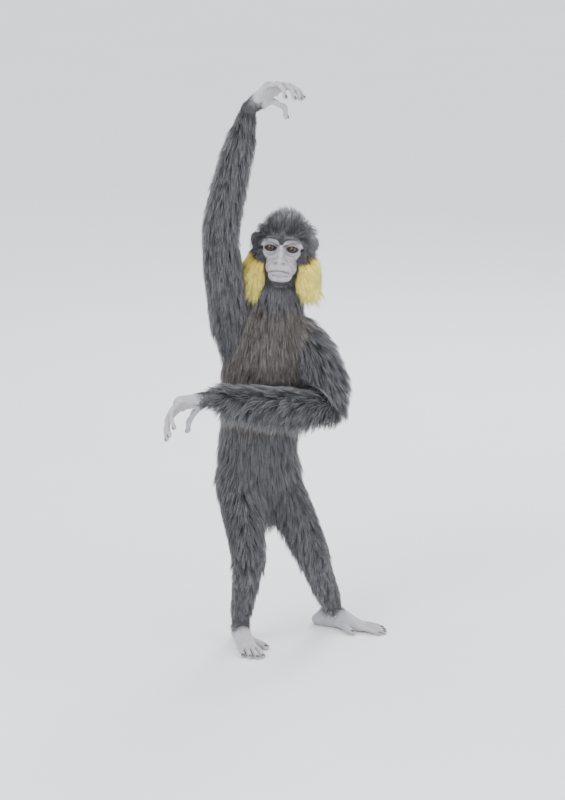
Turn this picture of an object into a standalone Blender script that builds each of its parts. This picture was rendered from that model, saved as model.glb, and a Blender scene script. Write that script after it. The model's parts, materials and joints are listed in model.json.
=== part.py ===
"""Northern yellow-cheeked gibbon, adult male, as a still life-size model.

The animal faces -Y with its left side towards +X and stands on the floor at Z = 0. The right arm
reaches up, the left forearm lies across the belly, and the left foot is set back and out.
Sizes are in metres. A station of a limb or of the torso is x, y, z, then the half width and the half
depth of the skin there; one radius stands for both. The coat is added over the skin.
"""

import math
import random

import bmesh
import bpy
import numpy as np
from mathutils import Euler, Matrix, Vector
from mathutils.bvhtree import BVHTree

# Coat and clearances
LONG_LOCKS = True
GAP = 0.0003
BODY_CORE = 0.010
LIMB_CORE = 0.008
PLAIN_BODY_COAT = 0.021
PLAIN_LIMB_COAT = 0.016
WRIST_COAT = 0.004
LOCK_SEED = 5
POINTS_KEPT = 0.92

# Torso, from the crotch up to the base of the neck
TORSO = (
    (-0.006, 0.016, 0.292, 0.034, 0.034),
    (-0.008, 0.018, 0.325, 0.054, 0.047),
    (-0.009, 0.016, 0.372, 0.061, 0.049),
    (-0.006, 0.011, 0.420, 0.058, 0.046),
    (-0.001, 0.008, 0.480, 0.061, 0.048),
    (0.006, 0.010, 0.545, 0.069, 0.053),
    (0.010, 0.012, 0.600, 0.067, 0.051),
    (0.014, 0.014, 0.640, 0.059, 0.046),
    (0.020, 0.014, 0.672, 0.043, 0.040),
)
WAIST_SHARE = 0.47
NECK = (
    (0.021, 0.014, 0.662, 0.044),
    (0.028, 0.012, 0.700, 0.039),
    (0.036, 0.010, 0.733, 0.035),
    (0.040, 0.009, 0.752, 0.032),
)

# Arms: the right one raised, the left one across the belly
UPPER_ARM_RIGHT = (
    (-0.034, 0.014, 0.585, 0.026),
    (-0.054, 0.006, 0.636, 0.030),
    (-0.066, -0.018, 0.700, 0.026),
    (-0.074, -0.042, 0.762, 0.0235),
    (-0.080, -0.064, 0.823, 0.0195),
)
FOREARM_RIGHT = (
    (-0.080, -0.064, 0.820, 0.0180),
    (-0.076, -0.071, 0.862, 0.0210),
    (-0.061, -0.077, 0.940, 0.0190),
    (-0.040, -0.082, 1.020, 0.0150),
    (-0.024, -0.085, 1.083, 0.0130),
)
UPPER_ARM_LEFT = (
    (0.066, 0.012, 0.614, 0.0290),
    (0.100, -0.004, 0.575, 0.0275),
    (0.125, -0.020, 0.525, 0.0235),
    (0.140, -0.036, 0.482, 0.0200),
)
FOREARM_LEFT = (
    (0.140, -0.037, 0.478, 0.0180),
    (0.100, -0.055, 0.487, 0.0225),
    (0.030, -0.081, 0.500, 0.0200),
    (-0.040, -0.104, 0.514, 0.0160),
    (-0.096, -0.122, 0.525, 0.0130),
)

# Legs: the right foot forward, the left foot back and turned out
THIGH_RIGHT = (
    (-0.032, 0.014, 0.352, 0.034),
    (-0.042, -0.012, 0.316, 0.034),
    (-0.034, -0.055, 0.256, 0.026),
    (-0.025, -0.092, 0.196, 0.0200),
)
THIGH_LEFT = (
    (0.032, 0.018, 0.352, 0.034),
    (0.048, 0.010, 0.316, 0.034),
    (0.076, -0.010, 0.250, 0.026),
    (0.100, -0.030, 0.186, 0.0200),
)
SHANK_RIGHT = (
    (-0.025, -0.091, 0.194, 0.0175),
    (-0.031, -0.070, 0.148, 0.0195),
    (-0.038, -0.042, 0.092, 0.0145),
    (-0.043, -0.022, 0.052, 0.0125),
)
SHANK_LEFT = (
    (0.100, -0.029, 0.184, 0.0175),
    (0.111, 0.004, 0.140, 0.0195),
    (0.128, 0.050, 0.086, 0.0145),
    (0.138, 0.080, 0.052, 0.0125),
)

# Head, in its own frame: x to the animal's left, y back, z up, centred in the skull
HEAD_CENTRE = Vector((0.042, -0.010, 0.788))
HEAD_SCALE = 1.15
HEAD_TURN = Euler((math.radians(-8), math.radians(4), math.radians(-6)))
CRANIUM_PLACE = Vector((0, 0.012, 0.009))
EYE_PLACE = Vector((0.0185, -0.0375, 0.0090))
EYE_RADIUS = 0.0092
LID_THICKNESS = 0.0034
LID_OPENING = (0.0079, 0.0046)
MUZZLE_CENTRE = Vector((0, -0.0360, -0.0225))
MUZZLE_HALF = Vector((0.0235, 0.0240, 0.0200))
MOUTH_HALF_WIDTH = 0.0165
MOUTH_HEIGHT = -0.0275
MOUTH_DROOP = 0.0035
FACE_KEPT = 0.048
EAR_PLACE = Vector((0.0470, 0.0060, 0.0150))
EAR_HALF = Vector((0.0045, 0.0110, 0.0150))
WHISKER_PAD_PLACE = Vector((0.0385, -0.0060, -0.0260))
WHISKER_PAD_HALF = Vector((0.0150, 0.0180, 0.0320))

# Hands: bones from the wrist, with the palm's normal and the curl at each joint
PALM_LENGTH = 0.068
FINGER_BONES = (
    (0.036, 0.023, 0.019),
    (0.040, 0.026, 0.020),
    (0.038, 0.025, 0.020),
    (0.032, 0.020, 0.018),
)
FINGER_SPACING = 0.0108
FINGER_RADIUS = 0.0051
FINGERTIP_RADIUS = 0.0042
THUMB_BONES = (0.034, 0.025, 0.019)
THUMB_RADIUS = 0.0068
WRIST_RIGHT = Vector((-0.024, -0.085, 1.083))
WRIST_LEFT = Vector((-0.096, -0.122, 0.525))

# Feet: flat on the floor, heading away from the ankle
ANKLE_RIGHT = Vector((-0.043, -0.020, 0))
ANKLE_LEFT = Vector((0.138, 0.082, 0))
FOOT_HEADING_RIGHT = math.radians(14)
FOOT_HEADING_LEFT = math.radians(66)
TOE_LENGTHS = (0.046, 0.050, 0.047, 0.041)
TOE_SPACING = 0.0100
TOE_RADIUS = 0.0050
HALLUX_LENGTH = 0.060
HALLUX_RADIUS = 0.0070

X_AXIS, Y_AXIS, Z_AXIS = Vector((1, 0, 0)), Vector((0, 1, 0)), Vector((0, 0, 1))


def clear_scene():
    for obj in list(bpy.data.objects):
        bpy.data.objects.remove(obj)


def finish(name, colour, roughness):
    """A Principled material with one colour."""
    material = bpy.data.materials.new(name)
    material.use_nodes = True
    shader = material.node_tree.nodes["Principled BSDF"]
    shader.inputs["Base Color"].default_value = (*colour, 1)
    shader.inputs["Roughness"].default_value = roughness
    shader.inputs["Metallic"].default_value = 0
    return material


def placed(name, mesh):
    """A mesh as a named object in the gibbon's collection."""
    obj = bpy.data.objects.new(name, mesh)
    GIBBON.objects.link(obj)
    return obj


def from_bmesh(name, work):
    bmesh.ops.recalc_face_normals(work, faces=work.faces)
    mesh = bpy.data.meshes.new(name)
    work.to_mesh(mesh)
    work.free()
    return placed(name, mesh)


def in_order(mesh):
    """The same mesh with its points and faces sorted, so that every run builds the same one."""
    spots = np.array([v.co for v in mesh.vertices])
    rounded = np.round(spots, 7)
    order = np.lexsort((rounded[:, 2], rounded[:, 1], rounded[:, 0]))
    rank = np.argsort(order)
    faces = []
    for polygon in mesh.polygons:
        ring = [int(rank[i]) for i in polygon.vertices]
        first = ring.index(min(ring))
        faces.append(tuple(ring[first:] + ring[:first]))
    sorted_mesh = bpy.data.meshes.new(mesh.name)
    sorted_mesh.from_pydata([tuple(p) for p in spots[order]], [], sorted(faces))
    return sorted_mesh


def applied(obj):
    """Applies every modifier of the object."""
    graph = bpy.context.evaluated_depsgraph_get()
    mesh = bpy.data.meshes.new_from_object(obj.evaluated_get(graph))
    obj.modifiers.clear()
    obj.data = in_order(mesh)
    return obj


def discard(objects):
    for obj in objects:
        bpy.data.objects.remove(obj)


def boolean(target, operation, others):
    """Joins or cuts the target with all the others at once, then removes them."""
    group = bpy.data.collections.new(target.name + "_tools")
    for other in others:
        group.objects.link(other)
    modifier = target.modifiers.new(operation.lower(), "BOOLEAN")
    modifier.operation = operation
    modifier.operand_type = "COLLECTION"
    modifier.collection = group
    modifier.solver = "MANIFOLD"
    applied(target)
    discard(list(group.objects))
    bpy.data.collections.remove(group)
    return target


def largest_only(obj):
    """Keeps the largest of the object's closed surfaces."""
    work = bmesh.new()
    work.from_mesh(obj.data)
    left, islands = set(work.verts), []
    while left:
        island, edge_of_search = set(), [left.pop()]
        while edge_of_search:
            vertex = edge_of_search.pop()
            island.add(vertex)
            for edge in vertex.link_edges:
                other = edge.other_vert(vertex)
                if other in left:
                    left.remove(other)
                    edge_of_search.append(other)
        islands.append(island)

    def spread(island):
        corners = np.array([v.co for v in island])
        return float(np.prod(corners.max(0) - corners.min(0)))

    islands.sort(key=spread)
    for island in islands[:-1]:
        bmesh.ops.delete(work, geom=list(island), context="VERTS")
    work.to_mesh(obj.data)
    work.free()
    return obj


def without_slivers(obj):
    """Drops the needless points and hair-thin triangles that the unions leave."""
    work = bmesh.new()
    work.from_mesh(obj.data)
    bmesh.ops.triangulate(work, faces=work.faces)
    work.to_mesh(obj.data)
    work.free()
    fewer = obj.modifiers.new("fewer", "DECIMATE")
    fewer.ratio = POINTS_KEPT
    applied(obj)


def smooth_path(stations, count):
    """Stations resampled at an even spacing along a Catmull-Rom curve."""
    rows = np.array([s if len(s) == 5 else (*s, s[3]) for s in stations], float)
    ends = np.vstack([2 * rows[0] - rows[1], rows, 2 * rows[-1] - rows[-2]])
    fine = []
    for k in range(len(rows) - 1):
        a, b, c, d = ends[k : k + 4]
        for t in np.linspace(0, 1, 20, endpoint=False):
            cubic = (3 * b - a - 3 * c + d) * t**3
            square = (2 * a - 5 * b + 4 * c - d) * t**2
            fine.append(0.5 * (2 * b + (c - a) * t + square + cubic))
    fine = np.array(fine + [rows[-1]])
    steps = np.linalg.norm(np.diff(fine[:, :3], axis=0), axis=1)
    run = np.concatenate([[0], np.cumsum(steps)])
    at = np.linspace(0, run[-1], count)
    return np.column_stack([np.interp(at, run, fine[:, c]) for c in range(5)])


def levels_of(
    stations, rings, grow=0.0, dome_start=True, dome_end=True, thin_end=0.0, caps_at=(38, 68)
):
    """Levels of a tube: centre, tangent, half width and half depth, with rounded ends."""
    rows = smooth_path(stations, rings)
    tangents = np.gradient(rows[:, :3], axis=0)
    tangents /= np.linalg.norm(tangents, axis=1)[:, None]
    shares = np.linspace(0, 1, rings)
    levels = []
    for row, tangent, share in zip(rows, tangents, shares):
        coat = grow - thin_end * max(0.0, share - 0.55) / 0.45
        levels.append([Vector(row[:3]), Vector(tangent), row[3] + coat, row[4] + coat])

    def rounded(level, sign):
        centre, tangent, wide, deep = level
        reach = min(wide, deep) * sign
        caps = []
        for angle in caps_at:
            inset = math.cos(math.radians(angle))
            place = centre + tangent * reach * math.sin(math.radians(angle))
            caps.append([place, tangent, wide * inset, deep * inset])
        caps.append([centre + tangent * reach, tangent, 0, 0])
        return caps

    if dome_start:
        levels = rounded(levels[0], -1)[::-1] + levels
    if dome_end:
        levels = levels + rounded(levels[-1], 1)
    return levels


def tube(name, levels, sides, across=X_AXIS):
    """A closed tube of triangles through the levels. A level of no width is a pole."""
    work = bmesh.new()
    rings = []
    for centre, tangent, wide, deep in levels:
        if wide == 0:
            rings.append([work.verts.new(centre)])
            continue
        side = (across - tangent * across.dot(tangent)).normalized()
        depth = tangent.cross(side)
        ring = []
        for k in range(sides):
            angle = 2 * math.pi * k / sides
            offset = side * wide * math.cos(angle) + depth * deep * math.sin(angle)
            ring.append(work.verts.new(centre + offset))
        rings.append(ring)
    for lower, upper in zip(rings, rings[1:]):
        for k in range(sides):
            n = (k + 1) % sides
            if len(lower) == 1:
                work.faces.new((lower[0], upper[n], upper[k]))
            elif len(upper) == 1:
                work.faces.new((lower[k], lower[n], upper[0]))
            else:
                work.faces.new((lower[k], lower[n], upper[n]))
                work.faces.new((lower[k], upper[n], upper[k]))
    for ring in (rings[0], rings[-1]):
        if len(ring) > 1:
            work.faces.new(ring)
    return from_bmesh(name, work)


def ellipsoid(name, centre, half, turn=None, segments=16, rings=10):
    work = bmesh.new()
    bmesh.ops.create_uvsphere(work, u_segments=segments, v_segments=rings, radius=1)
    shape = Matrix.Diagonal((*half, 1))
    turned = (turn or Euler((0, 0, 0))).to_matrix().to_4x4()
    bmesh.ops.transform(
        work, matrix=Matrix.Translation(centre) @ turned @ shape, verts=work.verts
    )
    return from_bmesh(name, work)


def mirrored(point, side):
    return Vector((point.x * side, point.y, point.z))


# Torso, neck and limbs


def coat_depth(on_body):
    """How far the solid stands over the skin: the core of the locks, or the whole coat."""
    if LONG_LOCKS:
        return BODY_CORE if on_body else LIMB_CORE
    return PLAIN_BODY_COAT if on_body else PLAIN_LIMB_COAT


def torso_levels(clear=0.0):
    return levels_of(TORSO, 12, grow=coat_depth(True) + clear)


def whole_torso(clear=GAP):
    return tube("torso_clearance", torso_levels(clear), 18)


def chest_and_abdomen():
    """The torso in two pieces, parted across the waist."""
    levels = torso_levels()
    cut = round(len(levels) * WAIST_SHARE)
    at_waist = levels[cut]
    lift = at_waist[1] * GAP
    lower = levels[:cut] + [[at_waist[0], *at_waist[1:]]]
    upper = [[at_waist[0] + lift, *at_waist[1:]]] + levels[cut + 1 :]
    return tube("abdomen", lower, 18), tube("chest", upper, 18)


LIMBS = {
    "upper_arm_right": (UPPER_ARM_RIGHT, 7, 0.0, False),
    "upper_arm_left": (UPPER_ARM_LEFT, 7, 0.0, False),
    "forearm_right": (FOREARM_RIGHT, 8, WRIST_COAT, True),
    "forearm_left": (FOREARM_LEFT, 8, WRIST_COAT, True),
    "thigh_right": (THIGH_RIGHT, 6, 0.0, False),
    "thigh_left": (THIGH_LEFT, 6, 0.0, False),
    "shank_right": (SHANK_RIGHT, 6, WRIST_COAT, True),
    "shank_left": (SHANK_LEFT, 6, WRIST_COAT, True),
}


def limb_levels(name, clear=0.0):
    stations, rings, thin_end, flat_end = LIMBS[name]
    return levels_of(
        stations,
        rings,
        grow=coat_depth(False) + clear,
        dome_end=not flat_end or clear > 0,
        thin_end=thin_end,
    )


def limb(name, clear=0.0):
    """One length of a limb. Forearms and shanks end in a flat face at the wrist or ankle."""
    obj = tube(name, limb_levels(name, clear), 12)
    if clear:
        obj.name = name + "_clearance"
    return obj


def neck_levels(clear=0.0):
    return levels_of(NECK, 5, grow=coat_depth(False) + clear)


def neck(clear=0.0):
    obj = tube("neck", neck_levels(clear), 12)
    if clear:
        obj.name = "neck_clearance"
    return obj


# Head


def head_matrix():
    turn = HEAD_TURN.to_matrix().to_4x4()
    return Matrix.Translation(HEAD_CENTRE) @ turn @ Matrix.Scale(HEAD_SCALE, 4)


def set_in_head(obj):
    obj.data.transform(head_matrix())
    return obj


def on_muzzle(x, z, out=0.0):
    """The point of the muzzle's front surface at x and z."""
    flat = 1 - (x / MUZZLE_HALF.x) ** 2 - ((z - MUZZLE_CENTRE.z) / MUZZLE_HALF.z) ** 2
    reach = MUZZLE_HALF.y * math.sqrt(max(flat, 0.02))
    return Vector((x, MUZZLE_CENTRE.y - reach - out, z))


def mouth_line(rise, out, count=7):
    """Points along the closed mouth, whose corners droop."""
    points = []
    for k in range(count):
        x = MOUTH_HALF_WIDTH * (2 * k / (count - 1) - 1)
        z = MOUTH_HEIGHT + rise - MOUTH_DROOP * (x / MOUTH_HALF_WIDTH) ** 2
        points.append(on_muzzle(x, z, out))
    return points


def strand(name, points, radius, sides=6):
    """A thin tube through the points, as thick all along."""
    stations = [(*p, radius) for p in points]
    return tube(name, levels_of(stations, len(points)), sides, across=Z_AXIS)


def face_forms():
    """Cheeks, jaw, muzzle, chin, brows, nose, lips and lids, before they melt together."""
    brow = [(-0.034, -0.031, 0.014), (-0.018, -0.0470, 0.0225), (0, -0.0475, 0.0195)]
    brow += [(-x, y, z) for x, y, z in brow[1::-1]]
    pieces = [
        ellipsoid("cheeks", (0, -0.014, 0.000), (0.0335, 0.031, 0.033)),
        ellipsoid("jaw", (0, -0.004, -0.024), (0.033, 0.033, 0.023)),
        ellipsoid("muzzle", MUZZLE_CENTRE, MUZZLE_HALF),
        ellipsoid("chin", (0, -0.029, -0.037), (0.0205, 0.023, 0.0145)),
        ellipsoid("nose_bridge", (0, -0.0465, 0.000), (0.0060, 0.009, 0.018)),
        ellipsoid("nose_tip", (0, -0.0575, -0.0110), (0.0066, 0.0058, 0.0056)),
        strand("brow", brow, 0.0052, sides=8),
        strand("upper_lip", mouth_line(0.0030, -0.0016), 0.0034),
        strand("lower_lip", mouth_line(-0.0034, -0.0022), 0.0034),
    ]
    for side in (-1, 1):
        zygoma = mirrored(Vector((0.027, -0.028, -0.003)), side)
        pieces.append(ellipsoid("zygoma", zygoma, (0.0115, 0.013, 0.0085)))
        wing = mirrored(Vector((0.0072, -0.0550, -0.0130)), side)
        pieces.append(ellipsoid("nose_wing", wing, (0.0056, 0.0062, 0.0050)))
        lid = [EYE_RADIUS + LID_THICKNESS] * 3
        pieces.append(ellipsoid("lids", mirrored(EYE_PLACE, side), lid))
    return pieces


def skull_mass():
    """The face melted into one form, with the smooth braincase under its fur behind it."""
    crown = 0.007 if LONG_LOCKS else 0.013
    half = Vector((0.0370 + crown, 0.0460 + crown, 0.0400 + crown))
    inner = half - Vector((0.0015, 0.0015, 0.0015))
    mass = ellipsoid("head", CRANIUM_PLACE, inner, segments=24, rings=16)
    boolean(mass, "UNION", face_forms())
    melt = mass.modifiers.new("melt", "REMESH")
    melt.mode = "VOXEL"
    melt.voxel_size = 0.0018
    applied(mass)
    soften = mass.modifiers.new("soften", "SMOOTH")
    soften.iterations = 4
    fewer = mass.modifiers.new("fewer", "DECIMATE")
    fewer.ratio = FACE_KEPT
    applied(mass)
    return boolean(mass, "UNION", [ellipsoid("cranium", CRANIUM_PLACE, half, None, 18, 12)])


def eye_slit(place):
    """An almond prism that opens the lids in front of one eye."""
    half_width, half_height = LID_OPENING
    work = bmesh.new()
    outline = []
    for k in range(14):
        turn = 2 * math.pi * k / 14
        height = half_height * math.sin(turn) * (0.7 + 0.3 * abs(math.sin(turn)))
        outline.append(place + Vector((half_width * math.cos(turn), 0, height)))
    depth = Vector((0, -0.030, 0))
    front = [work.verts.new(p + depth) for p in outline]
    back = [work.verts.new(p) for p in outline]
    work.faces.new(front)
    work.faces.new(back)
    for k in range(len(outline)):
        n = (k + 1) % len(outline)
        work.faces.new((front[k], front[n], back[n], back[k]))
    return from_bmesh("eye_slit", work)


def head():
    """The head with open lids, nostrils, a closed mouth and the seats of ears and whiskers."""
    mass = skull_mass()
    taken = [strand("mouth_groove", mouth_line(-0.0002, 0.0010), 0.0013, sides=5)]
    clear = GAP / HEAD_SCALE
    for side in (-1, 1):
        taken += [ear_shell(side, clear), pad_shape(side, clear)]
    socket = EYE_RADIUS + GAP / HEAD_SCALE
    for side in (-1, 1):
        place = mirrored(EYE_PLACE, side)
        taken.append(ellipsoid("socket", place, [socket] * 3, None, 12, 7))
        taken.append(eye_slit(place))
        nostril = mirrored(Vector((0.0070, -0.0612, -0.0150)), side)
        taken.append(ellipsoid("nostril", nostril, (0.0024, 0.0040, 0.0020), None, 6, 5))
    boolean(mass, "DIFFERENCE", taken)
    set_in_head(mass)
    return largest_only(boolean(mass, "DIFFERENCE", [neck(GAP)]))


def eye(side):
    name = "eye_left" if side > 0 else "eye_right"
    place = mirrored(EYE_PLACE, side)
    return set_in_head(ellipsoid(name, place, [EYE_RADIUS] * 3, None, 12, 7))


def ear_turn(side):
    return Euler((0, math.radians(12) * side, math.radians(-62) * side))


def ear_shell(side, clear=0.0):
    half = EAR_HALF + Vector((clear, clear, clear))
    return ellipsoid("ear_shell", mirrored(EAR_PLACE, side), half, ear_turn(side), 10, 7)


def ear(side):
    """A small rounded ear, hollowed to the front."""
    shell = ear_shell(side)
    facing = ear_turn(side).to_matrix() @ Vector((side, 0, 0))
    hollow = Vector((EAR_HALF.x * 1.1, EAR_HALF.y * 0.72, EAR_HALF.z * 0.76))
    place = mirrored(EAR_PLACE, side) + facing * EAR_HALF.x
    cup = ellipsoid("ear_cup", place, hollow, ear_turn(side), 9, 6)
    boolean(shell, "DIFFERENCE", [cup, pad_shape(side, GAP / HEAD_SCALE)])
    return set_in_head(shell)


def pad_shape(side, clear=0.0):
    """The root of the cheek whiskers, over the cheek below the ear, in the head's frame."""
    swell = Vector((1, 1, 1)) if LONG_LOCKS else Vector((1.9, 1.25, 1.35))
    half = Vector([a * b + clear for a, b in zip(WHISKER_PAD_HALF, swell)])
    turn = Euler((0, math.radians(-14) * side, math.radians(-16) * side))
    return ellipsoid("pad", mirrored(WHISKER_PAD_PLACE, side), half, turn, 12, 9)


# Hands and feet


def finger(name, root, heading, toward, bones, curls, radii, sides=6):
    """A finger bent toward the palm by one angle at each joint, without its root's dome."""
    points, place, angle = [root], root, 0.0
    for bone, curl in zip(bones, curls):
        angle += math.radians(curl)
        place = place + (heading * math.cos(angle) + toward * math.sin(angle)) * bone
        points.append(place)
    widths = np.linspace(radii[0], radii[1], len(points))
    stations = [(*p, r) for p, r in zip(points, widths)]
    levels = levels_of(stations, 6, dome_start=False, caps_at=(50,))
    return tube(name, levels, sides, across=heading.cross(toward))


def hand(name, wrist, forward, palm_normal, thumb_side, curls, thumb_lean, thumb_curl):
    """A long narrow hand: palm, four fingers side by side and a low-set thumb."""
    forward = forward.normalized()
    palm = (palm_normal - forward * palm_normal.dot(forward)).normalized()
    side = forward.cross(palm) * thumb_side
    stations = [
        (*(wrist + forward * reach), wide, deep)
        for reach, wide, deep in (
            (0.004, 0.0140, 0.0115),
            (0.026, 0.0175, 0.0115),
            (0.050, 0.0205, 0.0105),
            (PALM_LENGTH, 0.0205, 0.0080),
        )
    ]
    shape = tube(name, levels_of(stations, 5, dome_start=False), 10, across=side)
    pieces = []
    for k, bones in enumerate(FINGER_BONES):
        share = 1.5 - k
        root = wrist + forward * (PALM_LENGTH - 0.008) + side * FINGER_SPACING * share
        heading = (forward + side * 0.035 * share).normalized()
        radii = (FINGER_RADIUS, FINGERTIP_RADIUS)
        pieces.append(finger("finger", root, heading, palm, bones, curls[k], radii))
    base = wrist + forward * 0.012 + side * 0.007 + palm * 0.002
    lean = math.radians(thumb_lean)
    heading = (forward * math.cos(lean) + side * math.sin(lean) + palm * 0.12).normalized()
    bend = palm * 0.80 + side * 0.40 - forward * 0.30
    bend = (bend - heading * bend.dot(heading)).normalized()
    radii = (THUMB_RADIUS, 0.0048)
    pieces.append(finger("thumb", base, heading, bend, THUMB_BONES, thumb_curl, radii))
    return boolean(shape, "UNION", pieces)


def foot(name, ankle, heading_angle, medial_sign):
    """A flat foot with four long toes and a great toe that stands off like a thumb."""
    ahead = Vector((math.sin(heading_angle), -math.cos(heading_angle), 0))
    medial = Vector((math.cos(heading_angle), math.sin(heading_angle), 0)) * medial_sign

    def at(reach, sideways, height):
        return ankle + ahead * reach + medial * sideways + Z_AXIS * height

    sole = [
        (*at(-0.026, 0, 0.0120), 0.0130, 0.0150),
        (*at(-0.008, 0, 0.0185), 0.0150, 0.0220),
        (*at(0.018, 0, 0.0185), 0.0165, 0.0210),
        (*at(0.046, 0, 0.0110), 0.0190, 0.0135),
        (*at(0.068, 0, 0.0065), 0.0195, 0.0090),
    ]
    shape = tube(name, levels_of(sole, 6, caps_at=(45,)), 10, across=medial)
    column = [(*at(0, 0, 0.0520), 0.0150), (*at(0.006, 0, 0.0180), 0.0150)]
    levels = levels_of(column, 3, dome_start=False, caps_at=(50,))
    pieces = [tube("ankle", levels, 10, across=medial)]
    for k, length in enumerate(TOE_LENGTHS):
        offset = (1.5 - k) * TOE_SPACING
        lag = (0.000, 0.001, -0.002, -0.007)[k]
        spread = 0.10 * (1.5 - k) * TOE_SPACING / 0.01
        toe = [
            (*at(0.060 + lag, offset, 0.0075), TOE_RADIUS + 0.0006),
            (*at(0.078 + lag, offset + spread * 0.010, 0.0095), TOE_RADIUS),
            (*at(0.095 + lag, offset + spread * 0.018, 0.0078), TOE_RADIUS - 0.0003),
            (*at(0.066 + lag + length, offset + spread * 0.026, 0.0040), TOE_RADIUS - 0.0006),
        ]
        levels = levels_of(toe, 5, dome_start=False, caps_at=(50,))
        pieces.append(tube("toe", levels, 6, across=medial))
    reach, out = HALLUX_LENGTH * 0.80, HALLUX_LENGTH * 0.52
    hallux = [
        (*at(0.014, 0.006, 0.0110), HALLUX_RADIUS + 0.0020),
        (*at(0.014 + reach * 0.5, 0.006 + out * 0.55, 0.0100), HALLUX_RADIUS),
        (*at(0.014 + reach * 0.8, 0.006 + out * 0.88, 0.0072), HALLUX_RADIUS - 0.0004),
        (*at(0.014 + reach, 0.006 + out, 0.0054), HALLUX_RADIUS - 0.0009),
    ]
    levels = levels_of(hallux, 6, dome_start=False, caps_at=(45,))
    pieces.append(tube("great_toe", levels, 8, across=Z_AXIS))
    boolean(shape, "UNION", pieces)
    work = bmesh.new()
    bmesh.ops.create_cube(work, size=0.5)
    bmesh.ops.translate(work, vec=ankle - Z_AXIS * 0.25, verts=work.verts)
    floor = from_bmesh("floor_cut", work)
    return largest_only(boolean(shape, "DIFFERENCE", [floor]))


# Locks of the coat


LOCK_SECTIONS = ((0.0, 0.66, 0.0), (0.36, 1.0, 0.50), (0.72, 0.62, 0.85))
ROOT_DEPTH = 0.0045
EDGE_DROP = 0.6
BODY_NODES = ("abdomen", "chest", "neck", "upper_arm", "forearm", "thigh", "shank")
CLEAR_OF_OTHERS = 0.0007
HEAD_LOCKS = (0.024, 0.040, 0.031)
ROW_SHIFTS = (0.0, 0.5, 0.25, 0.75)
FILL_IN = 0.74


def surface_of(obj):
    mesh = obj.data
    points = [v.co.copy() for v in mesh.vertices]
    return BVHTree.FromPolygons(points, [tuple(p.vertices) for p in mesh.polygons])


def laid_down(edge, over, ground):
    """An edge of a lock, let down part of the way to where the body falls off beside it."""
    near = ground.find_nearest(edge)[0]
    drop = (edge - near).dot(over)
    return edge - over * EDGE_DROP * max(0.0, min(drop - 0.003, 0.010))


def lock_points(root, normal, lie, length, width, thick, lift, hug, ground):
    """Rings of three points along a flat lock that lies over the body and rises to its tip."""
    rings, place, heading, up = [], root, lie, normal
    done = 0.0
    for share, wide, rise in (*LOCK_SECTIONS, (1.0, 0.0, 1.0)):
        ahead = place + heading * (share - done) * length
        done = share
        if hug and share:
            near, facing, _, _ = ground.find_nearest(ahead)
            wanted = near + facing * lift * rise
            far = (ahead - near).dot(facing) > lift * rise
            ahead = ahead.lerp(wanted, 0.45 if far else 1.0)
            up = up.lerp(facing, 0.7).normalized()
        elif share:
            ahead = ahead + up * lift * 0.25 * rise
        if share:
            heading = (ahead - place).normalized().lerp(lie, 0.35).normalized()
        place = ahead
        across = heading.cross(up).normalized()
        over = across.cross(heading).normalized()
        half = across * width * wide / 2
        if wide == 0:
            rings.append([place])
            continue
        sunk = place - over * (ROOT_DEPTH if share == 0 else 0)
        ridge = thick * (1.15 - 0.75 * share)
        edges = [sunk - half, sunk + half]
        if hug:
            edges = [laid_down(edge, over * (1 - share), ground) for edge in edges]
        rings.append([edges[0], sunk + over * ridge, edges[1]])
    return rings


def lock_mesh(rings):
    """Points and faces of a lock, closed at the root and pointed at the tip."""
    points = [p for ring in rings for p in ring]
    faces = [(0, 1, 2)]
    for k in range(len(rings) - 2):
        a = 3 * k
        for i in range(3):
            n = (i + 1) % 3
            faces.append((a + i, a + 3 + i, a + 3 + n))
            faces.append((a + i, a + 3 + n, a + n))
    tip, last = len(points) - 1, len(points) - 4
    for i in range(3):
        faces.append((last + i, tip, last + (i + 1) % 3))
    return points, faces


def swollen(rings, by):
    """The same lock a little fatter, to test that it clears its neighbours."""
    fat = []
    for ring in rings:
        middle = sum(ring, Vector()) / len(ring)
        fat.append([p + (p - middle).normalized() * by if len(ring) > 1 else p for p in ring])
    return fat


def roots_on(obj, spacing, rng, allowed):
    """Points spread evenly over the object's surface, with their normals."""
    mesh = obj.data
    mesh.calc_loop_triangles()
    corners = [[mesh.vertices[i].co for i in t.vertices] for t in mesh.loop_triangles]
    areas = [(b - a).cross(c - a).length for a, b, c in corners]
    facing = [(b - a).cross(c - a).normalized() for a, b, c in corners]
    chosen = []
    for k in rng.choices(range(len(corners)), weights=areas, k=4000):
        u, v = rng.random(), rng.random()
        if u + v > 1:
            u, v = 1 - u, 1 - v
        a, b, c = corners[k]
        point = a + (b - a) * u + (c - a) * v
        if all((point - other).length > spacing for other, _ in chosen):
            if allowed(point):
                chosen.append((point, facing[k]))
    return chosen


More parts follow.
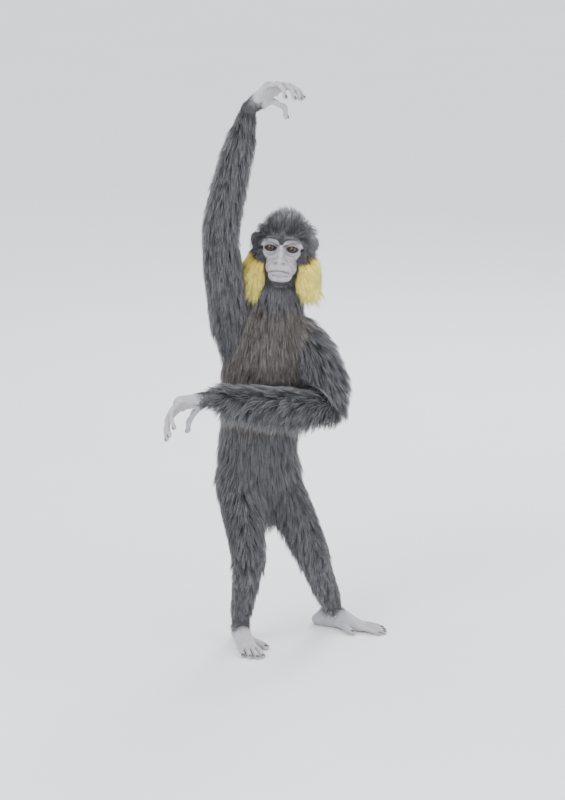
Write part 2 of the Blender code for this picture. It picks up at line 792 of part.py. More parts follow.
def roots_in_rows(levels, surface, row_step, around_step, rng, allowed, shift=0.0):
    """Staggered rows of points round a tube, put on the surface that is left of it."""
    centres = np.array([level[0] for level in levels])
    run = np.concatenate([[0], np.cumsum(np.linalg.norm(np.diff(centres, axis=0), axis=1))])
    widths = np.array([[level[2], level[3]] for level in levels])
    chosen, rows = [], int(run[-1] / row_step)
    for row in range(rows):
        base = (row + 0.5 + shift / 2) / rows * run[-1]
        wide, deep = (np.interp(base, run, widths[:, c]) for c in (0, 1))
        around = max(3, round(math.pi * (wide + deep) / around_step))
        for k in range(around):
            at = base + rng.uniform(-0.14, 0.14) * row_step
            place = k + shift + 0.5 * (row % 2) + rng.uniform(-0.12, 0.12)
            turn = 2 * math.pi * place / around
            middle = Vector([np.interp(at, run, centres[:, c]) for c in range(3)])
            ahead = Vector([np.interp(at + 0.004, run, centres[:, c]) for c in range(3)])
            tangent = (ahead - middle).normalized() if ahead != middle else levels[-1][1]
            side = (X_AXIS - tangent * X_AXIS.dot(tangent)).normalized()
            depth = tangent.cross(side)
            point = middle + side * wide * math.cos(turn) + depth * deep * math.sin(turn)
            near, normal, _, away = surface.find_nearest(point)
            if away < 0.005 and allowed(near):
                chosen.append((near, normal))
    return chosen


def grow_locks(nodes, coats):
    """Adds each node's locks, bent or cut clear of every other node."""
    surfaces = {name: surface_of(obj) for name, obj in nodes.items()}
    body = [nodes[n] for n in nodes if n.startswith(BODY_NODES)]
    body_ground = BVHTree.FromPolygons(*joined(body))
    head_ground = BVHTree.FromPolygons(*joined([nodes["head"], nodes["neck"], nodes["chest"]]))
    grown = {name: [] for name in nodes}
    for name, coat in coats.items():
        rng = random.Random(f"{LOCK_SEED} {name}")
        others = [surfaces[n] for n in nodes if n != name]
        taken = [tree for n, trees in grown.items() if n != name for _, tree in trees]

        def allowed(point, others=others, coat=coat):
            if any(tree.find_nearest(point)[3] < coat["clear"] for tree in others):
                return False
            return coat["where"](point)

        ground = head_ground if name == "head" else body_ground
        if coat["levels"]:
            steps = (coat["spacing"], coat["around"], rng, allowed)
            roots = []
            for shift in ROW_SHIFTS:
                roots += roots_in_rows(coat["levels"], surfaces[name], *steps, shift)
        else:
            roots = roots_on(nodes[name], coat["spacing"], rng, allowed)
        standing = []
        for root, normal in roots:
            if any((root - other).length < coat["spacing"] * FILL_IN for other in standing):
                continue
            hug = coat["hug"](root)
            flow = coat["lie"](root, normal)
            lie = flow - normal * flow.dot(normal) * (1 if hug else 0)
            lie.normalize()
            wide = coat["width"] * rng.uniform(0.88, 1.12)
            long = coat["length"] * rng.uniform(0.85, 1.15)
            for stretch, raise_by in ((1, 0), (1, 0.004), (0.85, 0.002), (0.7, 0), (0.55, 0)):
                rings = lock_points(
                    root,
                    normal,
                    lie,
                    long * stretch,
                    wide * (1 if stretch == 1 else 0.85),
                    coat["thick"],
                    coat["lift"] + raise_by,
                    hug,
                    ground,
                )
                points, faces = lock_mesh(swollen(rings, CLEAR_OF_OTHERS))
                tree = BVHTree.FromPolygons(points, faces)
                if min(p.z for p in points) < 0.002:
                    continue
                if not any(tree.overlap(other) for other in others + taken):
                    grown[name].append((lock_mesh(rings), tree))
                    standing.append(root)
                    break
    for name, locks in grown.items():
        pieces = []
        for (points, faces), _ in locks:
            work = bmesh.new()
            made = [work.verts.new(p) for p in points]
            for face in faces:
                work.faces.new([made[i] for i in face])
            pieces.append(from_bmesh("lock", work))
        if pieces:
            largest_only(boolean(nodes[name], "UNION", pieces))
        print(name, len(pieces), "locks")


def joined(objects):
    points, faces = [], []
    for obj in objects:
        first = len(points)
        points += [v.co.copy() for v in obj.data.vertices]
        faces += [tuple(first + i for i in p.vertices) for p in obj.data.polygons]
    return points, faces


def hangs(x, y, z):
    """The coat of a limb or of the torso hangs one way."""
    return lambda point, normal: Vector((x, y, z)) + normal * 0.10


def in_head(point):
    return head_matrix().inverted() @ point


def crown_flow(point, normal):
    """Up and back on the crown, as the male's crest, and down over the sides and the nape."""
    place = in_head(point)
    upright = max(0.0, min(1.0, (place.z - 0.020) / 0.016))
    crest = Vector((normal.x * 0.25, 0.85, 0.75))
    return Vector((normal.x * 0.4, 0.45, -1)).lerp(crest, upright) + normal * 0.28


def off_the_face(point):
    place = in_head(point)
    front = place.y < -0.014 and place.z < 0.0265
    beside_the_ear = place.y < 0.012 and 0.0 < place.z < 0.034 and abs(place.x) > 0.030
    return place.z > -0.030 and not front and not beside_the_ear


def whisker_flow(spread):
    def flow(point, normal):
        place = in_head(point)
        down = 0.62 + 0.55 * max(0.0, min(1.0, (0.005 - place.z) / 0.05))
        return Vector((spread, 0.08, -down)) + normal * 0.16

    return flow


def anywhere(point):
    return True


def below_the_crown(point):
    return in_head(point).z < 0.024


def never(point):
    return False


def coat_of(lie, spacing, length, width, levels=None, around=0.045, where=anywhere, hug=never):
    """One node's coat. With levels it stands in rows round the tube, and hugs the body."""
    return {
        "lie": lie,
        "levels": levels,
        "spacing": spacing,
        "around": around,
        "length": length,
        "width": width,
        "thick": 0.0060 if levels else 0.0050,
        "lift": 0.014 if levels else 0.006,
        "where": where,
        "hug": anywhere if levels else hug,
        "clear": 0.005 if levels else 0.0045 if hug is not never else 0.003,
    }


def coats():
    """How the coat lies on each node: its flow, and the spacing and size of its locks."""
    grown = {
        "whiskers_right": coat_of(whisker_flow(-0.34), 0.0165, 0.044, 0.023),
        "whiskers_left": coat_of(whisker_flow(0.42), 0.0165, 0.044, 0.023),
        "head": coat_of(crown_flow, *HEAD_LOCKS, where=off_the_face, hug=below_the_crown),
        "neck": coat_of(hangs(0, 0.05, -1), 0.034, 0.060, 0.040, neck_levels()),
    }
    flows = {"upper_arm_left": hangs(0.25, 0, -0.97), "forearm_left": hangs(0.62, 0, -0.78)}
    down = hangs(0, 0.05, -1)
    grown["chest"] = coat_of(down, 0.056, 0.094, 0.052, torso_levels(), 0.055)
    for name in LIMBS:
        back = 0.15 if "thigh" in name else 0.25 if "shank" in name else 0.05
        size = (0.047, 0.070, 0.039) if "shank" in name else (0.051, 0.083, 0.044)
        flow = flows.get(name, hangs(0, back, -1))
        grown[name] = coat_of(flow, *size, limb_levels(name), size[2] + 0.003)
    grown["abdomen"] = coat_of(down, 0.058, 0.096, 0.053, torso_levels(), 0.056)
    return grown


# The whole animal


def build():
    nodes = {}
    nodes["abdomen"], nodes["chest"] = chest_and_abdomen()
    nodes["head"] = head()
    nodes["neck"] = boolean(neck(), "DIFFERENCE", [whole_torso()])
    nodes["eye_right"], nodes["eye_left"] = eye(-1), eye(1)
    for side, word in ((-1, "right"), (1, "left")):
        upper, fore = f"upper_arm_{word}", f"forearm_{word}"
        nodes[upper] = boolean(limb(upper), "DIFFERENCE", [whole_torso(), neck(GAP)])
        nodes[fore] = boolean(limb(fore), "DIFFERENCE", [limb(upper, GAP), whole_torso()])
        thigh, shank = f"thigh_{word}", f"shank_{word}"
        nodes[thigh] = boolean(limb(thigh), "DIFFERENCE", [whole_torso()])
        nodes[shank] = boolean(limb(shank), "DIFFERENCE", [limb(thigh, GAP)])
        nodes[f"ear_{word}"] = ear(side)
        walls = [neck(GAP), whole_torso(), limb(upper, GAP)]
        nodes[f"whiskers_{word}"] = boolean(set_in_head(pad_shape(side)), "DIFFERENCE", walls)
    nodes["hand_right"] = hand(
        "hand_right",
        WRIST_RIGHT,
        forward=Vector((0.70, -0.20, 0.69)),
        palm_normal=Vector((0.45, -0.75, -0.45)),
        thumb_side=1,
        curls=((24, 40, 22), (28, 42, 24), (30, 42, 25), (33, 44, 26)),
        thumb_lean=28,
        thumb_curl=(0, 46, 52),
    )
    nodes["hand_left"] = hand(
        "hand_left",
        WRIST_LEFT,
        forward=Vector((-0.97, -0.12, -0.14)),
        palm_normal=Vector((0.10, -0.70, -0.70)),
        thumb_side=-1,
        curls=((36, 34, 14), (39, 33, 14), (42, 33, 15), (46, 34, 17)),
        thumb_lean=46,
        thumb_curl=(0, 16, 22),
    )
    nodes["foot_right"] = foot("foot_right", ANKLE_RIGHT, FOOT_HEADING_RIGHT, 1)
    nodes["foot_left"] = foot("foot_left", ANKLE_LEFT, FOOT_HEADING_LEFT, -1)
    for word in ("right", "left"):
        cut_by = {f"hand_{word}": f"forearm_{word}", f"foot_{word}": f"shank_{word}"}
        for end, root in cut_by.items():
            boolean(nodes[end], "DIFFERENCE", [flat_ended(root)])
    for name, obj in nodes.items():
        obj.name = name
        largest_only(obj)
    if LONG_LOCKS:
        grow_locks(nodes, coats())
    for obj in nodes.values():
        without_slivers(obj)
    return nodes


def flat_ended(name):
    """A forearm or shank grown by the gap, still with its flat end, to part the hand or foot."""
    stations, rings, thin_end, _ = LIMBS[name]
    depth = coat_depth(False) + GAP
    levels = levels_of(stations, rings, grow=depth, dome_end=False, thin_end=thin_end)
    end = levels[-1]
    levels.append([end[0] + end[1] * GAP, end[1], end[2], end[3]])
    return tube(name + "_clearance", levels, 12)


def centre_on_floor(nodes):
    """Moves the whole animal so that the middle of its bounding box stands over the origin."""
    corners = np.array([v.co for obj in nodes.values() for v in obj.data.vertices])
    middle = (corners.min(0) + corners.max(0)) / 2
    shift = Matrix.Translation((-middle[0], -middle[1], 0))
    for obj in nodes.values():
        obj.data.transform(shift)
    print("moved by", -middle[0], -middle[1], "lowest", corners.min(0)[2])


def paint(nodes):
    black = finish("black_coat", (0.022, 0.022, 0.024), 0.6)
    brown = finish("brownish_black_chest", (0.045, 0.036, 0.030), 0.6)
    gold = finish("golden_whiskers", (0.62, 0.36, 0.08), 0.6)
    skin = finish("slate_skin", (0.16, 0.155, 0.165), 0.5)
    brown_eye = finish("dark_brown_eye", (0.05, 0.022, 0.012), 0.15)
    by_name = {"chest": brown, "eye_right": brown_eye, "eye_left": brown_eye}
    for name, obj in nodes.items():
        if name.startswith("whiskers"):
            colour = gold
        elif name.startswith(("hand", "foot", "ear")):
            colour = skin
        else:
            colour = by_name.get(name, black)
        obj.data.materials.clear()
        obj.data.materials.append(colour)
        obj.data.shade_smooth()
        obj.data.set_sharp_from_angle(angle=math.radians(35))


clear_scene()
GIBBON = bpy.data.collections.new("northern_yellow_cheeked_gibbon")
bpy.context.scene.collection.children.link(GIBBON)
ALL_NODES = build()
centre_on_floor(ALL_NODES)
paint(ALL_NODES)
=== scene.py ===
"""Northern yellow-cheeked gibbon, adult male: the looks of a still, life-size museum model.

The animal faces -Y, with its left side towards +X, and left and right are its own. Sizes are in
metres. Forms are given in the body's plan, whose origin is the floor under the hips, and the plan
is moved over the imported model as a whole.
"""

import json
import math

import bmesh
import bpy
import numpy as np
from mathutils import Euler, Matrix, Vector
from mathutils.bvhtree import BVHTree
from mathutils.kdtree import KDTree

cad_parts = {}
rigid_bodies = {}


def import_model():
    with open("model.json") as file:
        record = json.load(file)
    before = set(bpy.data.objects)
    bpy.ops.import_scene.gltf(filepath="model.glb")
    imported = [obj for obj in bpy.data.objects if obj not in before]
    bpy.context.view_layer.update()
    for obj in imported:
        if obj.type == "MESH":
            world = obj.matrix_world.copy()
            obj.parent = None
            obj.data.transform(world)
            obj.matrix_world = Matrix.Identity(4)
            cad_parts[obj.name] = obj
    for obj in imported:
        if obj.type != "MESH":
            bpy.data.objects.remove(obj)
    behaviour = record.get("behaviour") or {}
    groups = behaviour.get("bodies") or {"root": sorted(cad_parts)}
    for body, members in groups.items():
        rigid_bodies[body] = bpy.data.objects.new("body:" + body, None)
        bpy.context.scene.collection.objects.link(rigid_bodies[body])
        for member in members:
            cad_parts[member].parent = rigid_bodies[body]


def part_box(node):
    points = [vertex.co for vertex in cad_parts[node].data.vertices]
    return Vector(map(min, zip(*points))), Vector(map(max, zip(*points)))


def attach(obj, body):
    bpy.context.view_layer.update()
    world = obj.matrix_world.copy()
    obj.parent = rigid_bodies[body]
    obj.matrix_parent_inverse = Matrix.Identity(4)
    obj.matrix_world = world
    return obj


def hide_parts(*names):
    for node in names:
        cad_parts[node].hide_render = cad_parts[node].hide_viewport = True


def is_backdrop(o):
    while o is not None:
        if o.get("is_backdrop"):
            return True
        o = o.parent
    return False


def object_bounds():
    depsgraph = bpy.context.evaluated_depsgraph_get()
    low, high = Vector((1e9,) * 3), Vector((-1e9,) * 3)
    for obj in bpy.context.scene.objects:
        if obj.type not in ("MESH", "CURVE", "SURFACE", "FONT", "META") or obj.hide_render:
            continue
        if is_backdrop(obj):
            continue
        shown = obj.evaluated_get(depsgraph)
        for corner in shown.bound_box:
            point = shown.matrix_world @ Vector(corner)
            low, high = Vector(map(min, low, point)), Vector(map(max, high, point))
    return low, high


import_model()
cad_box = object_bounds()


# The body under the coat. A gibbon is lean, with a short trunk and very long arms. Each line runs
# down the middle of a part: x, y, z, half width and half depth of the skin there, or one radius.
LIMBS = {
    "trunk": (
        (-0.006, 0.016, 0.292, 0.034, 0.034), (-0.009, 0.018, 0.325, 0.051, 0.047),
        (-0.01, 0.016, 0.372, 0.06, 0.049), (-0.006, 0.011, 0.42, 0.058, 0.046),
        (-0.001, 0.008, 0.48, 0.061, 0.048), (0.006, 0.01, 0.545, 0.069, 0.053),
        (0.01, 0.012, 0.6, 0.067, 0.051), (0.014, 0.014, 0.64, 0.059, 0.046),
        (0.02, 0.014, 0.672, 0.043, 0.04),
    ),
    "neck": (
        (0.021, 0.014, 0.662, 0.044), (0.028, 0.012, 0.7, 0.039), (0.036, 0.01, 0.733, 0.035),
        (0.04, 0.009, 0.752, 0.032),
    ),
    "upper_arm_right": (
        (-0.034, 0.014, 0.585, 0.026), (-0.054, 0.006, 0.636, 0.03), (-0.066, -0.018, 0.7, 0.026),
        (-0.074, -0.042, 0.762, 0.0235), (-0.08, -0.064, 0.823, 0.0195),
    ),
    "forearm_right": (
        (-0.08, -0.064, 0.82, 0.018), (-0.076, -0.071, 0.862, 0.021),
        (-0.061, -0.077, 0.94, 0.019), (-0.04, -0.082, 1.02, 0.015),
        (-0.024, -0.085, 1.083, 0.013),
    ),
    "upper_arm_left": (
        (0.066, 0.012, 0.614, 0.029), (0.1, -0.004, 0.575, 0.0275), (0.125, -0.02, 0.525, 0.0235),
        (0.14, -0.036, 0.482, 0.02),
    ),
    "forearm_left": (
        (0.14, -0.037, 0.478, 0.018), (0.1, -0.055, 0.487, 0.0225), (0.03, -0.081, 0.5, 0.02),
        (-0.04, -0.104, 0.514, 0.016), (-0.096, -0.122, 0.525, 0.013),
    ),
    "thigh_right": (
        (-0.032, 0.014, 0.352, 0.034), (-0.042, -0.012, 0.316, 0.034),
        (-0.034, -0.055, 0.256, 0.026), (-0.025, -0.092, 0.196, 0.02),
    ),
    "thigh_left": (
        (0.022, 0.018, 0.352, 0.034), (0.035, 0.01, 0.312, 0.033), (0.071, -0.01, 0.246, 0.026),
        (0.1, -0.03, 0.186, 0.02),
    ),
    "shank_right": (
        (-0.025, -0.091, 0.194, 0.0175), (-0.031, -0.07, 0.148, 0.0195),
        (-0.038, -0.042, 0.092, 0.0145), (-0.043, -0.022, 0.052, 0.0125),
    ),
    "shank_left": (
        (0.1, -0.029, 0.184, 0.0175), (0.111, 0.004, 0.14, 0.0195), (0.128, 0.05, 0.086, 0.0145),
        (0.138, 0.08, 0.052, 0.0125),
    ),
}
BODY_VOXEL = 0.0032


def unit(rows):
    """Each row of an array at length one."""
    return rows / np.maximum(np.linalg.norm(rows, axis=-1, keepdims=True), 1e-9)


def along(stations, count):
    """The stations of a part, resampled evenly on a smooth curve through them."""
    rows = np.array([s if len(s) == 5 else (*s, s[3]) for s in stations], float)
    ends = np.vstack([2 * rows[0] - rows[1], rows, 2 * rows[-1] - rows[-2]])
    fine = []
    for a, b, c, d in zip(ends, ends[1:], ends[2:], ends[3:]):
        for t in np.linspace(0, 1, 20, endpoint=False):
            cubic = (3 * b - a - 3 * c + d) * t**3
            square = (2 * a - 5 * b + 4 * c - d) * t**2
            fine.append(0.5 * (2 * b + (c - a) * t + square + cubic))
    fine = np.array(fine + [rows[-1]])
    steps = np.linalg.norm(np.diff(fine[:, :3], axis=0), axis=1)
    run = np.concatenate([[0], np.cumsum(steps)])
    at = np.linspace(0, run[-1], count)
    return np.column_stack([np.interp(at, run, fine[:, c]) for c in range(5)])


def tube(stations, count, sides=20, across=(1, 0, 0), grow=0.0):
    """Points and faces of a closed, round-ended tube along the stations."""
    across = np.array(across, float)
    rows = along(stations, count)
    rows[:, 3:] += grow
    tangents = unit(np.gradient(rows[:, :3], axis=0))
    levels = [(row[:3], tangent, row[3], row[4]) for row, tangent in zip(rows, tangents)]

    def rounded(level, sign):
        centre, tangent, wide, deep = level
        reach = min(wide, deep) * sign
        for angle in (0.45, 0.9, 1.25, 1.5):
            inset = math.cos(angle)
            yield centre + tangent * reach * math.sin(angle), tangent, wide * inset, deep * inset

    levels = [*rounded(levels[0], -1)][::-1] + levels + [*rounded(levels[-1], 1)]
    turn = np.arange(sides) * 2 * math.pi / sides
    points = []
    for centre, tangent, wide, deep in levels:
        side = unit(across - tangent * np.dot(across, tangent))
        depth = np.cross(tangent, side)
        ring = np.outer(wide * np.cos(turn), side) + np.outer(deep * np.sin(turn), depth)
        points.append(centre + ring)
    faces = [tuple(range(sides))[::-1]]
    for ring in range(len(levels) - 1):
        for k in range(sides):
            a, b = ring * sides + k, ring * sides + (k + 1) % sides
            faces.append((a, b, b + sides, a + sides))
    faces.append(tuple(range((len(levels) - 1) * sides, len(levels) * sides)))
    return np.vstack(points), faces


def ball(centre, half, turn=None, segments=24, rings=16):
    """Points and faces of an ellipsoid."""
    work = bmesh.new()
    bmesh.ops.create_uvsphere(work, u_segments=segments, v_segments=rings, radius=1)
    turned = (turn or Euler((0, 0, 0))).to_matrix().to_4x4()
    placed = Matrix.Translation(centre) @ turned @ Matrix.Diagonal((*half, 1))
    bmesh.ops.transform(work, matrix=placed, verts=work.verts)
    points = np.array([v.co for v in work.verts])
    faces = [[v.index for v in face.verts] for face in work.faces]
    work.free()
    # Blender lists the faces in another order each time. A fixed one makes all runs the same.
    starts = [corners.index(min(corners)) for corners in faces]
    return points, sorted((*corners[k:], *corners[:k]) for corners, k in zip(faces, starts))


def in_scene(name, data):
    obj = bpy.data.objects.new(name, data)
    bpy.context.scene.collection.objects.link(obj)
    return obj


def as_object(name, points, faces):
    mesh = bpy.data.meshes.new(name)
    mesh.from_pydata([tuple(p) for p in points], [], faces)
    return in_scene(name, mesh)


def modified(obj, kind, **settings):
    """Adds a modifier with its settings."""
    step = obj.modifiers.new(kind.lower(), kind)
    for key, value in settings.items():
        setattr(step, key, value)


def baked(obj):
    """Applies the object's modifiers, so that it is a plain mesh."""
    graph = bpy.context.evaluated_depsgraph_get()
    mesh = bpy.data.meshes.new_from_object(obj.evaluated_get(graph))
    obj.modifiers.clear()
    obj.data = mesh
    return obj


def melted(name, shells, voxel, rounds, kept=1.0):
    """Overlapping closed shells made one skin of small even faces, then softened."""
    points, faces = [], []
    for shell_points, shell_faces in shells:
        first = len(points)
        points.extend(shell_points)
        faces.extend(tuple(first + i for i in face) for face in shell_faces)
    obj = as_object(name, points, faces)
    modified(obj, "REMESH", mode="VOXEL", voxel_size=voxel)
    modified(obj, "SMOOTH", iterations=rounds)
    if kept < 1:
        modified(obj, "DECIMATE", ratio=kept)
    return baked(obj)


def combined(target, operation, others):
    """Joins the others to the target or cuts them out of it, and drops them."""
    group = bpy.data.collections.new("tools")
    for other in others:
        group.objects.link(other)
    what = {"operation": operation, "operand_type": "COLLECTION", "collection": group}
    modified(target, "BOOLEAN", **what, solver="MANIFOLD")
    baked(target)
    for other in list(group.objects):
        bpy.data.objects.remove(other)
    bpy.data.collections.remove(group)
    return target


def numbers(rows, name="co", width=3, kind=float):
    """One field of all rows of a mesh as an array."""
    values = np.empty(len(rows) * width, kind)
    rows.foreach_get(name, values)
    return values.reshape(-1, width)


def for_work(mesh):
    """The mesh in a form that can be cut and smoothed."""
    work = bmesh.new()
    work.from_mesh(mesh)
    return work


def done_with(work, mesh):
    work.to_mesh(mesh)
    work.free()


def put_back(mesh, points):
    mesh.vertices.foreach_set("co", points.ravel())
    mesh.update()


body = melted("body", [tube(line, 24, 28) for line in LIMBS.values()], BODY_VOXEL, 5)


# The hands. A gibbon's palm and fingers are long and hooked for swinging, with a short thumb set
# low at the wrist. Bare skin lies close over tendons and knuckles, and is padded on the palm.
PALM_LENGTH = 0.068
FINGER_BONES = (
    (0.036, 0.023, 0.019), (0.040, 0.026, 0.020), (0.038, 0.025, 0.020), (0.032, 0.020, 0.018)
)
FINGER_SPACING = 0.0108
FINGER_RADII = (0.0051, 0.0042)
THUMB_BONES = (0.034, 0.025, 0.019)
THUMB_RADII = (0.0068, 0.0048)
HAND_VOXEL = 0.0010
HAND_KEPT = 0.42
nail_places = []


def digit(root, heading, toward, bones, curls, radii):
    """A finger's line, thicker at its joints than between them. Notes the place of its nail."""
    place, angle = root, 0.0
    line = [(*place, radii[0])]
    for k, (bone, curl) in enumerate(zip(bones, curls)):
        angle += math.radians(curl)
        step = heading * math.cos(angle) + toward * math.sin(angle)
        share = (k + 1) / len(bones)
        radius = radii[0] + (radii[1] - radii[0]) * share
        line.append((*(place + step * bone * 0.5), radius * 0.95))
        place = place + step * bone
        line.append((*place, radius * (1.08 if k < len(bones) - 1 else 0.94)))
    back = heading * math.sin(angle) - toward * math.cos(angle)
    nail_places.append((place, step, back, radii[1]))
    pad = ball(place - step * 0.004 - back * radii[1] * 0.28, [radii[1] * 0.95] * 3)
    return [tube(line, 26, 14, across=heading.cross(toward)), pad]


def hand(name, forearm, forward, palm_normal, thumb_side, curls, thumb_lean, thumb_curl):
    wrist = Vector(forearm[-1][:3])
    forward = forward.normalized()
    palm = (palm_normal - forward * palm_normal.dot(forward)).normalized()
    side = forward.cross(palm) * thumb_side
    widths = ((0.004, 0.0140, 0.0115), (0.026, 0.0175, 0.0112), (0.050, 0.0205, 0.0100))
    heel = [(*(wrist + forward * reach), wide, deep) for reach, wide, deep in widths]
    heel.append((*(wrist + forward * PALM_LENGTH), 0.0205, 0.0078))
    shells = [tube(heel, 14, 24, across=side), tube(forearm[-2:], 8, grow=0.0004)]
    for k, bones in enumerate(FINGER_BONES):
        share = 1.5 - k
        root = wrist + forward * (PALM_LENGTH - 0.008) + side * FINGER_SPACING * share
        heading = (forward + side * 0.035 * share).normalized()
        shells += digit(root, heading, palm, bones, curls[k], FINGER_RADII)
        start = wrist + forward * 0.012 + side * 0.0035 * share - palm * 0.0085
        knuckle = root - palm * 0.0046
        middle = (start + knuckle) / 2 - palm * 0.0008
        shells.append(tube([(*start, 0.0018), (*middle, 0.0020), (*knuckle, 0.0026)], 12, 10))
        shells.append(ball(root + forward * 0.004 - palm * 0.0012, (0.0058, 0.0058, 0.0058)))
        shells.append(ball(root - forward * 0.002 + palm * 0.0036, (0.0056, 0.0056, 0.0050)))
    base = wrist + forward * 0.012 + side * 0.007 + palm * 0.002
    lean = math.radians(thumb_lean)
    heading = (forward * math.cos(lean) + side * math.sin(lean) + palm * 0.12).normalized()
    bend = palm * 0.80 + side * 0.40 - forward * 0.30
    bend = (bend - heading * bend.dot(heading)).normalized()
    shells += digit(base, heading, bend, THUMB_BONES, thumb_curl, THUMB_RADII)
    shells.append(ball(base + forward * 0.016 + palm * 0.003 + side * 0.003, [0.0095] * 3))
    shells.append(ball(wrist + forward * 0.030 - side * 0.009 + palm * 0.004, [0.0090] * 3))
    return melted(name, shells, HAND_VOXEL, 4, HAND_KEPT)


hand_right = hand(
    "hand_skin_right",
    LIMBS["forearm_right"],
    forward=Vector((0.70, -0.20, 0.69)),
    palm_normal=Vector((0.45, -0.75, -0.45)),
    thumb_side=1,
    curls=((24, 40, 22), (28, 42, 24), (30, 42, 25), (33, 44, 26)),
    thumb_lean=28,
    thumb_curl=(0, 46, 52),
)
hand_left = hand(
    "hand_skin_left",
    LIMBS["forearm_left"],
    forward=Vector((-0.97, -0.12, -0.14)),
    palm_normal=Vector((0.10, -0.70, -0.70)),
    thumb_side=-1,
    curls=((36, 34, 14), (39, 33, 14), (42, 33, 15), (46, 34, 17)),
    thumb_lean=46,
    thumb_curl=(0, 16, 22),
)


# The feet. Flat soles with a long great toe that stands off like a thumb, and four long toes.
# They carry the whole animal, so the sole is flattened against the floor.
TOES = ((0.046, 0.000), (0.050, 0.001), (0.047, -0.002), (0.041, -0.007))  # length and lag
TOE_ARCH = (
    (0.060, 0.000, 0.0075, 0.0006),
    (0.072, 0.008, 0.0092, 0.0001),
    (0.082, 0.012, 0.0092, -0.0004),
    (0.095, 0.018, 0.0080, -0.0001),
    (0.103, 0.022, 0.0058, -0.0006),
)
TOE_SPACING = 0.0100
TOE_RADIUS = 0.0050
SOLE = (
    (-0.026, 0.0120, 0.0130, 0.0150),
    (-0.008, 0.0185, 0.0150, 0.0220),
    (0.018, 0.0185, 0.0165, 0.0210),
    (0.046, 0.0110, 0.0190, 0.0135),
    (0.068, 0.0065, 0.0195, 0.0090),
)
HALLUX_LENGTH = 0.060
HALLUX_RADIUS = 0.0070
SOLE_HEIGHT = 0.0003


def foot(name, ankle, shank, heading, medial_sign):
    heading, up = math.radians(heading), Vector((0, 0, 1))
    ahead = Vector((math.sin(heading), -math.cos(heading), 0))
    medial = Vector((math.cos(heading), math.sin(heading), 0)) * medial_sign

    def at(reach, sideways, height):
        return ankle + ahead * reach + medial * sideways + up * height

    shells = [
        tube([(*at(reach, 0, high), *half) for reach, high, *half in SOLE], 18, 28, across=medial),
        tube([(*at(0, 0, 0.0520), 0.015), (*at(0.006, 0, 0.0180), 0.015)], 8, 24, across=medial),
        tube(shank[-2:], 8, grow=0.0004),
        ball(at(0.002, 0.0125, 0.0340), (0.0055, 0.0055, 0.0065)),
        ball(at(-0.002, -0.0125, 0.0310), (0.0055, 0.0055, 0.0065)),
        ball(at(-0.031, 0, 0.0110), (0.0115, 0.0115, 0.0120)),
    ]
    for k, (length, lag) in enumerate(TOES):
        offset = (1.5 - k) * TOE_SPACING
        spread = 0.10 * (1.5 - k) * TOE_SPACING / 0.01
        tip = at(0.066 + lag + length, offset + spread * 0.026, 0.0040)
        line = [
            (*at(reach + lag, offset + spread * out, height), TOE_RADIUS + more)
            for reach, out, height, more in TOE_ARCH
        ]
        shells.append(tube([*line, (*tip, TOE_RADIUS - 0.0006)], 24, 14, across=medial))
        way = (tip - Vector(line[4][:3])).normalized()
        nail_places.append((tip, way, way.cross(medial) * medial_sign, TOE_RADIUS - 0.0006))
        start = at(0.012, offset * 0.45, 0.0385)
        middle = at(0.040, offset * 0.8, 0.0225)
        knuckle = at(0.066 + lag, offset, 0.0120)
        shells.append(tube([(*start, 0.002), (*middle, 0.002), (*knuckle, 0.0026)], 14, 10))
    reach, out = HALLUX_LENGTH * 0.80, HALLUX_LENGTH * 0.52
    joint = at(0.014 + reach * 0.8, 0.006 + out * 0.88, 0.0072)
    tip = at(0.014 + reach, 0.006 + out, 0.0054)
    hallux = [
        (*at(0.014, 0.006, 0.0110), HALLUX_RADIUS + 0.0020),
        (*at(0.014 + reach * 0.5, 0.006 + out * 0.55, 0.0100), HALLUX_RADIUS * 0.97),
        (*joint, HALLUX_RADIUS - 0.0002),
        (*tip, HALLUX_RADIUS - 0.0009),
    ]
    shells.append(tube(hallux, 24, 16, across=(0, 0, 1)))
    way = (tip - joint).normalized()
    level = way.cross(up).normalized()
    nail_places.append((tip, way, level.cross(way), HALLUX_RADIUS - 0.0009))
    made = melted(name, shells, HAND_VOXEL, 4, HAND_KEPT)
    points = numbers(made.data.vertices)
    points[:, 2] = np.maximum(points[:, 2], SOLE_HEIGHT)
    put_back(made.data, points)
    return made


foot_right = foot("foot_skin_right", Vector((-0.043, -0.020, 0)), LIMBS["shank_right"], 14, 1)
foot_left = foot("foot_skin_left", Vector((0.138, 0.082, 0)), LIMBS["shank_left"], 66, -1)


# The head: a round braincase, a short muzzle with a flat nose, brow ridges, and deep-set eyes with
# folded lids. It is shaped in its own frame, x to the left, y back, z up, and then set on the neck.
HEAD_CENTRE = Vector((0.042, -0.010, 0.788))
HEAD_SCALE = 1.15
HEAD_TURN = Euler((math.radians(-8), math.radians(4), math.radians(-6)))
HEAD_PLACED = Matrix.Translation(HEAD_CENTRE) @ HEAD_TURN.to_matrix().to_4x4()
HEAD_PLACED = HEAD_PLACED @ Matrix.Scale(HEAD_SCALE, 4)
HEAD_VOXEL = 0.00115
CRANIUM_PLACE = (0, 0.012, 0.009)
CRANIUM_HALF = (0.0385, 0.0475, 0.0415)
EYE_PLACE = Vector((0.0185, -0.0375, 0.0090))
EYE_RADIUS = 0.0104
LID_THICKNESS = 0.0028
LID_OPENING = (0.0101, 0.0052)
MUZZLE_CENTRE = (0, -0.0360, -0.0225)
MUZZLE_HALF = (0.0235, 0.0240, 0.0200)
MOUTH_HALF_WIDTH = 0.0165
MOUTH_HEIGHT = -0.0275
MOUTH_DROOP = 0.0035
NOSTRIL = (0.0070, -0.0150)
WHISKER_PAD_PLACE = Vector((0.0385, -0.0060, -0.0260))
WHISKER_PAD_HALF = (0.0140, 0.0170, 0.0310)
